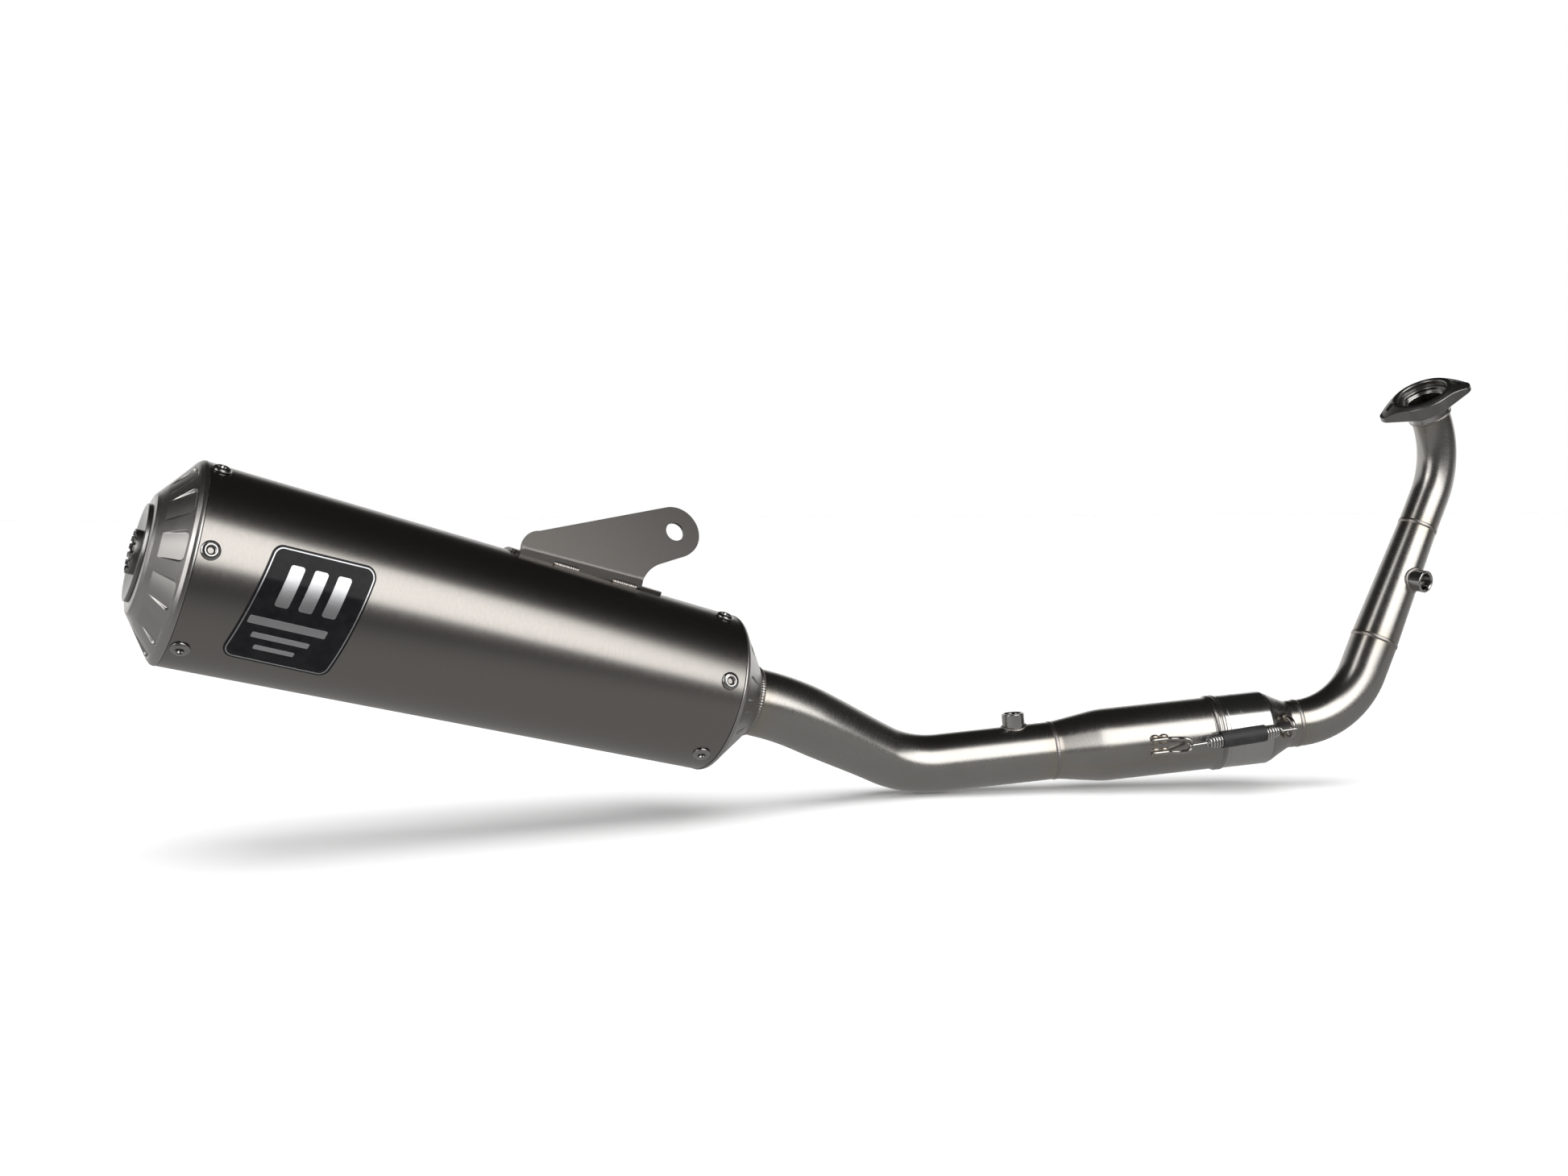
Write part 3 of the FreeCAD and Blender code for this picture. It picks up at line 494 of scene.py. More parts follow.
# ---------------------------------------------------------------- materials
class Nodes:
    """Short names for wiring a tree of shader nodes."""

    def __init__(self, tree):
        self.tree = tree

    def add(self, kind, **values):
        node = self.tree.nodes.new(kind)
        for key, value in values.items():
            setattr(node, key, value)
        return node

    def link(self, a, b):
        self.tree.links.new(a, b)

    def ranged(self, value, low, high, to_low=0.0, to_high=1.0, kind="LINEAR"):
        node = self.add("ShaderNodeMapRange", interpolation_type=kind)
        for key, number in (("From Min", low), ("From Max", high), ("To Min", to_low), ("To Max", to_high)):
            node.inputs[key].default_value = number
        self.link(value, node.inputs["Value"])
        return node.outputs["Result"]

    def math(self, kind, a, b):
        node = self.add("ShaderNodeMath", operation=kind)
        for k, v in enumerate((a, b)):
            if isinstance(v, float):
                node.inputs[k].default_value = v
            else:
                self.link(v, node.inputs[k])
        return node.outputs["Value"]

    def ray_choice(self, ray, otherwise, chosen, out):
        """One shader for the rays of the given kind and another for the rest."""
        both = self.add("ShaderNodeMixShader")
        self.link(self.add("ShaderNodeLightPath").outputs[ray], both.inputs[0])
        self.link(otherwise.outputs[0], both.inputs[1])
        self.link(chosen.outputs[0], both.inputs[2])
        self.link(both.outputs[0], out.inputs["Surface"])


class Graph(Nodes):
    """A material whose noises follow the mesh's unbent texture places."""

    def __init__(self, name):
        self.material = bpy.data.materials.new(name)
        self.material.use_nodes = True
        super().__init__(self.material.node_tree)
        self.shader = self.tree.nodes["Principled BSDF"]
        self.lay = self.add("ShaderNodeAttribute", attribute_name="lay").outputs["Vector"]

    def noise(self, stretch, detail=3.0, rough=0.55, distort=0.0):
        """Noise whose cells are the given number per metre along the lay's three axes."""
        place = self.add("ShaderNodeMapping")
        place.inputs["Scale"].default_value = stretch
        self.link(self.lay, place.inputs["Vector"])
        node = self.add("ShaderNodeTexNoise")
        for key, number in zip(("Scale", "Detail", "Roughness", "Distortion"), (1.0, detail, rough, distort)):
            node.inputs[key].default_value = number
        self.link(place.outputs["Vector"], node.inputs["Vector"])
        return node.outputs["Fac"]

    def ramp(self, value, stops):
        node = self.add("ShaderNodeValToRGB")
        points = node.color_ramp.elements
        while len(points) < len(stops):
            points.new(0.5)
        for point, (at, colour) in zip(points, stops):
            point.position = at
            point.color = (*colour, 1.0)
        self.link(value, node.inputs["Fac"])
        return node.outputs["Color"]

    def times(self, a, b):
        """One colour multiplied by another."""
        node = self.add("ShaderNodeMix", data_type="RGBA", blend_type="MULTIPLY")
        node.inputs["Factor"].default_value = 1.0
        self.link(a, node.inputs[6])
        self.link(b, node.inputs[7])
        return node.outputs[2]

    def bump(self, height, strength, distance, under=None):
        node = self.add("ShaderNodeBump")
        node.inputs["Strength"].default_value = strength
        node.inputs["Distance"].default_value = distance
        self.link(height, node.inputs["Height"])
        if under is not None:
            self.link(under, node.inputs["Normal"])
        return node.outputs["Normal"]

    def surface(self, colour, roughness, normal):
        for name, value in (("Base Color", colour), ("Roughness", roughness), ("Normal", normal)):
            self.link(value, self.shader.inputs[name])
        return self.material


HEAT_TINTS = [(0.0, (1.0, 1.0, 1.0)), (0.35, (1.0, 0.96, 0.89)), (0.6, (0.96, 0.88, 0.77)),
              (0.8, (0.85, 0.80, 0.80)), (1.0, (0.86, 0.87, 0.90))]


def metal(name, dark, light, rough, grain, grain_bump, blast=0.0, smear=14.0, warm=False):
    """Bare metal: blotched colour, smeared gloss, a directed grain and, if blasted, a fine matt grit."""
    g = Graph(name)
    blotch = g.noise((smear, smear, smear * 0.6), 4.0, 0.6, 0.3)
    fine = g.noise(grain, 2.0, 0.6)
    scratch = g.noise((grain[0] * 0.18 + 25, grain[1] * 0.18 + 25, grain[2] * 0.35 + 10), 2.0, 0.8, 0.2)
    colour = g.ramp(blotch, [(0.3, dark), (0.7, light)])
    colour = g.times(colour, g.ramp(fine, [(0.25, (0.90, 0.90, 0.90)), (0.75, (1.0, 1.0, 1.0))]))
    if warm:
        heat = g.add("ShaderNodeAttribute", attribute_name="warm").outputs["Fac"]
        uneven = g.math("MULTIPLY", heat, g.ranged(g.noise((60, 60, 90), 3.0, 0.6), 0.3, 0.7, 0.65, 1.1))
        colour = g.times(colour, g.ramp(uneven, HEAT_TINTS))
    gloss = g.math("ADD", g.ranged(blotch, 0.3, 0.7, *rough), g.ranged(scratch, 0.35, 0.65, -0.015, 0.02))
    g.shader.inputs["Metallic"].default_value = 1.0
    normal = g.bump(fine, grain_bump, 0.00004)
    normal = g.bump(scratch, grain_bump * 0.5, 0.00006, normal)
    if blast > 0:
        normal = g.bump(g.noise((5200, 5200, 5200), 2.0, 0.5), blast, 0.00006, normal)
    return g.surface(colour, gloss, normal)


def rubber_material():
    g = Graph("sleeve_rubber")
    grain = g.noise((1800, 1800, 1800), 4.0, 0.6)
    dust = g.noise((90, 90, 160), 4.0, 0.65)
    return g.surface(g.ramp(dust, [(0.35, (0.012, 0.012, 0.013)), (0.75, (0.030, 0.029, 0.028))]),
                     g.ranged(dust, 0.3, 0.7, 0.50, 0.68), g.bump(grain, 0.35, 0.00008))


def badge_material():
    g = Graph("badge_gloss")
    haze = g.noise((120, 120, 120), 4.0, 0.6)
    scuff = g.noise((300, 3200, 900), 2.0, 0.7)
    g.shader.inputs["Specular IOR Level"].default_value = 0.1
    return g.surface(g.ramp(haze, [(0.3, (0.006, 0.006, 0.007)), (0.7, (0.012, 0.012, 0.013))]),
                     g.ranged(scuff, 0.35, 0.65, 0.10, 0.14), g.bump(haze, 0.06, 0.0001))


def wool_material():
    g = Graph("packing_wool")
    fibre = g.noise((900, 900, 200), 5.0, 0.7, 0.8)
    return g.surface(g.ramp(fibre, [(0.3, (0.55, 0.50, 0.38)), (0.7, (0.82, 0.78, 0.66))]),
                     g.ranged(fibre, 0.3, 0.7, 0.85, 1.0), g.bump(fibre, 0.6, 0.0006))


# Grains, in cells per metre: fine lines round a turned piece, and fine lines along a wire.
RINGS = (260.0, 260.0, 5200.0)
LENGTHS = (4200.0, 4200.0, 70.0)

pipe_metal = metal("pipe_brushed", (0.345, 0.332, 0.312), (0.405, 0.392, 0.37), (0.23, 0.28),
                   (900, 900, 2600), 0.03, warm=True)
machined = metal("machined_polished", (0.48, 0.47, 0.455), (0.56, 0.55, 0.535), (0.17, 0.22), RINGS, 0.03)
outlet_metal = metal("outlet_satin", (0.26, 0.255, 0.245), (0.33, 0.325, 0.315), (0.27, 0.33), RINGS, 0.02)
flange_metal = metal("flange_satin", (0.22, 0.216, 0.208), (0.29, 0.285, 0.275), (0.31, 0.38),
                     (1500, 1500, 900), 0.03)
weld_metal = metal("weld_beads", (0.36, 0.345, 0.32), (0.46, 0.445, 0.42), (0.28, 0.38),
                   (900, 900, 900), 0.15, warm=True)
sleeve_metal = metal("sleeve_satin", (0.262, 0.247, 0.23), (0.272, 0.257, 0.24), (0.24, 0.255),
                     (900, 900, 3000), 0.01, blast=0.02, smear=3.0)
cap_metal = metal("cap_blasted", (0.40, 0.388, 0.37), (0.45, 0.437, 0.42), (0.28, 0.33),
                  (2000, 2000, 2000), 0.04, blast=0.05)
rivet_metal = metal("rivet_polished", (0.34, 0.335, 0.325), (0.42, 0.41, 0.40), (0.20, 0.26), RINGS, 0.03)
hook_metal = metal("wire_satin", (0.36, 0.34, 0.31), (0.50, 0.48, 0.45), (0.20, 0.28),
                   LENGTHS, 0.08, warm=True)
spring_metal = metal("spring_bright", (0.62, 0.61, 0.59), (0.74, 0.73, 0.71), (0.14, 0.20), LENGTHS, 0.05)
bracket_metal = metal("bracket_satin", (0.115, 0.108, 0.101), (0.13, 0.122, 0.114), (0.30, 0.34),
                      (220, 2600, 2600), 0.01, smear=3.0)
core_metal = metal("core_sooty", (0.10, 0.095, 0.09), (0.22, 0.21, 0.20), (0.45, 0.6), (800, 800, 1500), 0.3)
black_rubber = rubber_material()
badge_black = badge_material()
badge_silver = metal("badge_silver", (0.44, 0.44, 0.45), (0.56, 0.56, 0.57), (0.30, 0.40),
                     (700, 3000, 3000), 0.15)
wool = wool_material()

# Finishes used more than once: a slot and its material.
PIPE = ("pipe_steel", pipe_metal)
MACHINED = ("machined_steel", machined)
OUTLET = ("machined_steel", outlet_metal)
WELD = ("weld_metal", weld_metal)
HOOK = ("wire_steel", hook_metal)


# ---------------------------------------------------------------- port flange and collar
FLANGE_R, EAR_R, STUD_R, STUD_AT = 24.0, 9.3, 3.5, 24.0
FLANGE_TOP, FLANGE_FALL, FALL_FROM, FALL_WIDTH = 4.5, 0.63, 21.15, 10.4


def flange_loop(shift):
    """The flange's oval, moved outwards by shift: 2D points with their outward directions."""
    steps, quarter = 55, math.pi / 2
    tilt = math.asin((FLANGE_R - EAR_R) / STUD_AT)
    arcs = []
    for centre, r, first, last in ((STUD_AT, EAR_R, tilt - quarter, quarter - tilt),
                                   (0, FLANGE_R, quarter - tilt, quarter + tilt),
                                   (-STUD_AT, EAR_R, quarter + tilt, 3 * quarter - tilt),
                                   (0, FLANGE_R, 3 * quarter - tilt, 3 * quarter + tilt)):
        turn = [first + (last - first) * k / steps for k in range(steps + 1)]
        d = np.array([vec(math.cos(a), math.sin(a)) for a in turn])
        arcs.append((vec(centre, 0) + d * (r + shift), d))
    pts, dirs = [], []
    for (arc, d), (after, _) in zip(arcs, arcs[1:] + arcs[:1]):
        pts += [*arc] + [arc[-1] + (after[0] - arc[-1]) * j / 6 for j in range(1, 6)]
        dirs += [*d] + [d[-1]] * 5
    return np.array(pts), np.array(dirs)


def swept(profile, normals, base, dirs):
    """A (shift, height) profile carried round a 2D loop: points and normals."""
    x, y = base[:, 0], base[:, 1]
    q, nq = profile[:, :1], normals[:, :1]
    flat = np.stack([x + q * dirs[:, 0], y + q * dirs[:, 1], profile[:, 1:] + 0 * x], -1)
    return flat, np.stack([nq * dirs[:, 0], nq * dirs[:, 1], normals[:, 1:] + 0 * x], -1)


def flat_of(store, index, co):
    """Notes the 2D place of each point number, for fill."""
    for k, p in zip(index, co):
        store[int(k)] = (p[0], p[1])


def dome_z(x, y):
    """Height of the flange's top: flat round the bore, falling away to the ears."""
    return FLANGE_TOP - FLANGE_FALL * np.clip(np.hypot(x, y) - FALL_FROM, 0.0, FALL_WIDTH)


def dome_normal(x, y):
    r = np.maximum(np.hypot(x, y), 1e-6)
    slope = FLANGE_FALL * smoothstep(20.6, 22.0, r) * (1 - smoothstep(30.5, 32.5, r))
    return np.stack([slope * x / r, slope * y / r, 1.0 + 0 * r], -1)


def domed_rows(piece, profile, normals, base, dirs):
    """Rows round a 2D loop whose upper edge follows the dome and whose lower edge stays flat."""
    co, no = swept(profile, normals, base, dirs)
    x, y, z = (co[..., k] for k in range(3))
    co[..., 2] = np.where(z > -2.0, dome_z(x, y) + z, z - 2.0)
    no = np.where(no[..., 2:] > 0.9, dome_normal(x, y), no)
    return piece.rows(port.point(co), port.turn(no), co), co


def build_flange():
    piece = Piece()
    base, dirs = flange_loop(0.0)
    wall = eased([(-1.4, -4.0), (0.0, -4.0), (0.0, 0.0), (-1.4, 0.0)], 0.75, 5, False)
    ring, ring_co = domed_rows(piece, *wall, base, dirs)
    spoke = np.stack(circle(180)[1:], 1)
    hub = eased([(19.7, FLANGE_TOP), (18.5, FLANGE_TOP, 0.5), (17.9, 3.7, 0.3), (17.9, -6.0), (15.6, -6.0),
                 (15.6, -9.0), (18.6, -9.0, 0.4), (19.3, -6.0, 0.1), (19.7, -6.0)], 0.3, 4, False)
    hub_co, hub_no = swept(*hub, spoke * 0.0, spoke)
    hub_ring = piece.rows(port.point(hub_co), port.turn(hub_no), hub_co)
    bore = eased([(STUD_R + 0.35, 0.0), (STUD_R, 0.0), (STUD_R, -4.0), (STUD_R + 0.35, -4.0)], 0.3, 4, False)
    spoke = np.stack(circle(48)[1:], 1)
    bores = [domed_rows(piece, *bore, np.tile(vec(at, 0), (48, 1)), spoke) for at in (-STUD_AT, STUD_AT)]
    top, under = {}, {}
    flat_of(top, ring[-1], ring_co[-1])
    flat_of(top, hub_ring[0], hub_co[0])
    flat_of(under, ring[0], ring_co[0])
    flat_of(under, hub_ring[-1], hub_co[-1])
    for index, co in bores:
        flat_of(top, index[0], co[0])
        flat_of(under, index[-1], co[-1])
    r, a = np.meshgrid(np.arange(20.5, 32.6, 0.5), circle(240)[0])
    x, y = (r * np.cos(a)).ravel(), (r * np.sin(a)).ravel()
    clear = within(np.stack([x, y], 1), flange_loop(-2.0)[0])
    clear &= np.hypot(np.abs(x) - STUD_AT, y) > STUD_R + 0.8
    x, y = x[clear], y[clear]
    grid = np.stack([x, y, dome_z(x, y)], -1)
    flat_of(top, piece.points(port.point(grid), port.turn(dome_normal(x, y)), grid), grid)
    piece.fill([ring[-1], hub_ring[0]] + [index[0] for index, _ in bores], top)
    piece.fill([ring[0], hub_ring[-1]] + [index[-1] for index, _ in bores], under)
    piece.build("port_flange_skin", "flange", "flange_steel", flange_metal, "port_flange")


def build_collar():
    turned([(12.5, 3.0), (15.0, 3.0), (15.0, 0.0), (17.6, 0.0, 0.8), (17.6, 5.7), (15.2, 5.7),
            (15.2, 14.6, 0.5), (14.03, 14.6), (14.03, 5.0), (12.5, 5.0)], collar,
           "port_collar_skin", "header", ("flange_steel", machined), "port_collar", 160)


# ---------------------------------------------------------------- header
def near(stations, spread=7.0):
    """How heated the metal is at each station along the pipe."""
    def warmth(s):
        w = np.zeros_like(s)
        for at, amount in stations:
            w = np.maximum(w, amount * np.exp(-((s - at) / spread) ** 2))
        return w
    return warmth


def pipe(name, body, node, path, radii, around, station, heat):
    piece = Piece()
    tube(piece, path, radii, FRONT, around, station, heat, WALL)
    piece.build(name, body, *PIPE, node)


def build_header():
    upper = arc_between(vec(0, 0, 0), CORNER_UPPER, CORNER_LOWER, HEADER_BEND, 36)
    lower = arc_between(CORNER_UPPER, CORNER_LOWER, CORNER_REAR, HEADER_BEND, 48)
    cone_a, cone_b = CORNER_UPPER + DOWN * CONE_START, CORNER_UPPER + DOWN * CONE_END
    path = joined(run(PORT_DOWN * 5.0, upper[0], 2.0), upper, run(upper[-1], cone_a, 2.0))
    first = travelled(path)[-1]
    pipe("header_upper_skin", "header", "header_upper_bend", path, UPPER_R, 112, 0.0,
         near([(9.6, 0.4), (first, 0.4)]))
    cone = np.array(run(cone_a, cone_b, 1.5))
    second = first + CONE_END - CONE_START
    radii = np.linspace(UPPER_R, LOWER_R, len(cone))
    pipe("header_cone_skin", "header", "header_cone", cone, radii, 112, first, near([(first, 0.4), (second, 0.4)]))
    path = joined(run(cone_b, lower[0], 2.0), lower, run(lower[-1], CORNER_LOWER + SLIP * NECK, 2.0))
    last = second + travelled(path)[-1]
    pipe("header_lower_skin", "header", "header_lower_bend", path, LOWER_R, 128, second,
         near([(second, 0.4), (last, 0.4)]))


BOSS_R, THREAD_PITCH, THREAD_STEPS = 8.0, 1.25, 8
HEADER_BOSS_PIPE_R = 15.6


def build_boss(name, body, node, place, pipe_r, top):
    """Sensor boss standing on a pipe, its bore cut with a real thread."""
    t, c, s = circle(96)
    foot = np.sqrt(pipe_r ** 2 - (BOSS_R * s) ** 2) - 0.25
    edge = [(BOSS_R, 0.0), (BOSS_R, top, 0.8), (6.6, top, 0.35), (6.0, top - 0.7, 0.2)]
    prof, prof_n = eased(edge, 0.7, 5, False)
    co = [polar(BOSS_R, c, s, foot + (top - 0.9 - foot) * f) for f in (0.0, 0.5)]
    co += [polar(r, c, s, z) for r, z in prof[1:]]
    no = [polar(1, c, s, 0)] * 2 + [polar(r, c, s, z) for r, z in prof_n[1:]]
    depth = top - 0.7
    for k in range(int((depth - pipe_r + 1.4) / THREAD_PITCH * THREAD_STEPS)):
        z = depth - (k + 1) * THREAD_PITCH / THREAD_STEPS
        phase = (z / THREAD_PITCH - t / TAU) % 1.0
        r = 5.45 + 0.55 * np.clip(np.abs(phase - 0.5) * 2.5 - 0.12, 0, 1)
        co.append(polar(r, c, s, z))
        no.append(polar(-1, c, s, np.where(phase < 0.5, 0.8, -0.8)))
    co, no = np.array(co), np.array(no)
    piece = Piece()
    piece.rows(place.point(co), place.turn(no), co, wrap_v=True)
    piece.build(name, body, *MACHINED, node)


def build_slip():
    """The chamber's cone and socket on the header, and the spigot that slides in it."""
    bore = LOWER_R - WALL
    turned([(bore, NECK), (LOWER_R, NECK), (LOWER_R, 46.8, 5.0), (18.0, 49.4, 8.0), (21.5, 56.4, 12.0),
            (25.1, 63.0, 6.0), (26.05, SOCKET, 0.2), (24.2, SOCKET, 0.1), (23.6, 63.2, 4.0),
            (20.1, 57.0, 8.0), (16.6, 50.0, 6.0), (bore, 47.4, 4.0)], slip,
           "chamber_cone_skin", "header", PIPE, "chamber_cone", warm=near([(NECK, 0.4)], 5.0))
    turned([(24.2, SOCKET), (26.2, SOCKET, 0.25), (26.2, 87.1, 0.1), (25.95, 87.4, 0.1), (26.2, 87.7, 0.1),
            (26.2, 96.7, 0.1), (25.9, 97.1, 0.1), (26.2, 97.5, 0.1), (26.2, 100.1, 0.5), (24.2, 100.1, 0.2)],
           slip, "slip_socket_skin", "header", MACHINED, "slip_socket", radius=0.2)
    turned([(22.6, 68.6), (24.15, 68.6, 0.8), (24.15, 100.3, 0.1), (27.0, 100.3, 0.5), (27.0, 102.1, 0.4),
            (26.3, 102.6, 0.3), (26.3, 103.4, 0.3), (27.0, 103.9, 0.4), (27.0, 105.2, 0.8),
            (26.1, 106.5, 1.0), (CHAMBER_R, 107.7, 0.6), (CHAMBER_R, CHAMBER, 0.0), (24.3, CHAMBER, 0.0),
            (24.3, 107.5), (22.6, 103.5)], slip, "slip_spigot_skin", "muffler_unit", PIPE, "slip_spigot")


# ---------------------------------------------------------------- link chamber, cone and pipe
SEAM_ANGLE = math.radians(-118.0)


def seamed(name, node, outline, low, high, heat):
    """A turned shell with a fine lengthwise weld seam raised on it between two stations."""
    pts, nrm = eased(outward(dense(outline + [outline[0]], 0.9)[:-1]), 0.0)
    corner = (np.abs(nrm[:, 1]) > 0.3) & (np.abs(nrm[:, 1]) < 0.95)
    nrm[corner] = np.stack([np.sign(nrm[corner, 0]), 0 * nrm[corner, 0]], -1)
    co, no, lay = spun(pts, nrm, slip, 640)
    z = lay[..., 2]
    off = (np.arctan2(lay[..., 1], lay[..., 0]) - SEAM_ANGLE + math.pi) % TAU - math.pi
    off = np.abs(off) * np.hypot(lay[..., 0], lay[..., 1])
    outer = np.sum(no * (co - co.mean(1, keepdims=True)), -1) > 0
    lift = 0.16 * np.exp(-(off / 0.75) ** 2) * (1 + 0.25 * np.cos(z * TAU / 1.3)) * outer
    lift *= smoothstep(low, low + 1.5, z) * (1 - smoothstep(high - 1.5, high, z))
    co = co + no * lift[..., None]
    relief = facing(across(co, 1), across(co, 0), no)
    close = (off < 3.0)[..., None] & (np.abs(np.sum(relief * no, -1, keepdims=True)) > 0.8)
    piece = Piece()
    piece.rows(co, np.where(close, relief, no), lay, wrap_v=True,
               warm=np.maximum(heat(z), 0.3 * np.exp(-(off / 2.5) ** 2)))
    piece.build(name, "muffler_unit", *PIPE, node)


def build_link():
    bore = CHAMBER_R - WALL
    seamed("link_chamber_skin", "link_chamber",
           [(bore, CHAMBER), (CHAMBER_R, CHAMBER), (CHAMBER_R, LINK_CONE), (bore, LINK_CONE)],
           112.0, 183.0, near([(LINK_CONE, 0.15)], 4.0))
    outer, _ = eased([(bore, LINK_CONE), (CHAMBER_R, LINK_CONE), (25.77, 184.0), (25.7, 186.0),
                      (25.57, 188.0), (25.38, 190.0), (25.15, 192.0), (24.86, 194.0), (20.9, 219.4, 30.0),
                      (LINK_R, LINK_PIPE), (LINK_R - WALL, LINK_PIPE)], 0.0, 6, False)
    seamed("link_cone_skin", "link_cone", [tuple(p) for p in outer] + [(19.3, 220.0), (23.9, 185.4)],
           181.0, 222.4, near([(LINK_PIPE, 0.4), (LINK_CONE, 0.15)], 6.0))
    rear = arc_between(CORNER_LOWER, CORNER_REAR, CORNER_MUFFLER, 76.0, 44)
    last = arc_between(CORNER_REAR, CORNER_MUFFLER, TAIL_POINT, 219.0, 30)
    inside, shoulder = 4.0, 27.4
    path = joined(run(CORNER_LOWER + SLIP * LINK_PIPE, rear[0], 2.0), rear, run(rear[-1], last[0], 2.0), last,
                  run(last[-1], MUFFLER_FRONT + AXIS * inside, 2.0))
    s = travelled(path)
    swell = [s[np.argmin(np.linalg.norm(path - p, axis=1))] for p in (rear[-1], last[0])]
    radii = LINK_R + (INLET_R - LINK_R) * smoothstep(swell[0] - 6.0, swell[1] + 6.0, s)
    pipe("link_pipe_skin", "muffler_unit", "link_pipe", path, radii, 144, LINK_PIPE,
         near([(LINK_PIPE, 0.4), (LINK_PIPE + s[-1] - inside - shoulder, 0.5)], 9.0))


# ---------------------------------------------------------------- hooks, spring and welds
# Each hook's station, its reach out from the slip line and its height above it.
LINK_HOOK = (130.0, 33.7, -0.8)
HEADER_HOOK = (53.8, 33.0, 2.6)
HOOK_WIRE_R, LINK_LEG, HEADER_LEG = 1.6, 4.7, 6.3


def on_slip(station, out, up):
    return slip.point(vec(up, -out, station))


def build_hooks():
    s, out, up = HEADER_HOOK
    legs = [(18.4, 6.2), (22.0, 6.3), (27.0, 6.2), (out - 2.6, 5.3), (out - 0.5, 3.2)]
    track = ([(s, o, up + u) for o, u in legs] + [(s, out, up)] + [(s, o, up - u) for o, u in legs[::-1]])
    piece = Piece()
    wire(piece, through([on_slip(*p) for p in track]), HOOK_WIRE_R, SLIP)
    piece.build("header_hook_skin", "header", *HOOK, "header_spring_hook")
    s, out, up = LINK_HOOK
    rest = CHAMBER_R + HOOK_WIRE_R + 0.03
    top, low = up + LINK_LEG, up - LINK_LEG
    top_out, low_out = math.sqrt(rest ** 2 - top ** 2), math.sqrt(rest ** 2 - low ** 2)
    track = [(s + 27.0, top_out, top), (s + 20.0, top_out, top), (s + 14.0, top_out + 0.6, top),
             (s + 8.0, out - 1.6, top), (s + 3.6, out, top - 0.5), (s + 0.9, out, up + 2.6), (s, out, up),
             (s + 0.9, out, up - 2.6), (s + 3.6, out, low + 0.5), (s + 8.0, out - 1.8, low),
             (s + 14.0, low_out + 0.6, low), (s + 20.0, low_out, low), (s + 27.0, low_out, low)]
    piece = Piece()
    wire(piece, through([on_slip(*p) for p in track]), HOOK_WIRE_R, FRONT)
    piece.build("link_hook_skin", "muffler_unit", *HOOK, "link_spring_hook")


def build_spring():
    a, b = on_slip(*LINK_HOOK), on_slip(*HEADER_HOOK)
    length = float(np.linalg.norm(b - a))
    place = Place(a, b - a, FRONT)
    r, coil, lead, taper, pitch, per_turn, ease = 2.7, 4.5, 9.5, 7.0, 2.1, 20, 27.0
    bow = [k * math.pi / 14 for k in range(15)]
    points = [vec(-r, 0, 1.6)] + [vec(-r * math.cos(t), 0, -r * math.sin(t)) for t in bow]
    points += [vec(r, 0, z) for z in (2.4, 4.8, 7.2)]
    turns = round((length - 2 * lead) / pitch)
    k = np.arange(turns * per_turn)
    rates = np.minimum(1.0, np.minimum(k / ease, k[::-1] / ease))
    angle = np.concatenate([[0], np.cumsum(rates)]) * TAU * turns / rates.sum()
    along = np.linspace(0, length - 2 * lead, len(k) + 1)
    grow = np.minimum(1.0, np.minimum(along / taper, (length - 2 * lead - along) / taper))
    radius = r + (coil - r) * (1 - np.cos(grow * math.pi)) / 2
    points += [vec(q * math.cos(t), q * math.sin(t), lead + z) for q, t, z in zip(radius, angle, along)]
    points += [vec(r, 0, length - z) for z in (7.2, 4.8, 2.4)]
    points += [vec(r * math.cos(t), 0, length + r * math.sin(t)) for t in bow] + [vec(-r, 0, length - 1.6)]
    piece = Piece()
    wire(piece, place.point(np.array(points)), 0.7, place.y, 12)
    obj = piece.build("joint_spring_wire", None, "spring_steel", spring_metal, "joint_spring")
    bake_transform(obj)
    sleeve = Piece()
    path = place.point(np.linspace(vec(0, 0, 21.5), vec(0, 0, 54.5), 40))
    z = np.linspace(0, 1, 40)
    radii = 6.1 - 0.18 * (np.abs(2 * z - 1) ** 8) - 0.06 * (1 - np.cos(z * TAU * 3)) / 2
    tube(sleeve, path, radii, UP, 72, wall=0.8)
    sleeve.build("spring_rubber_skin", "muffler_unit", "sleeve_rubber", black_rubber, "spring_rubber")


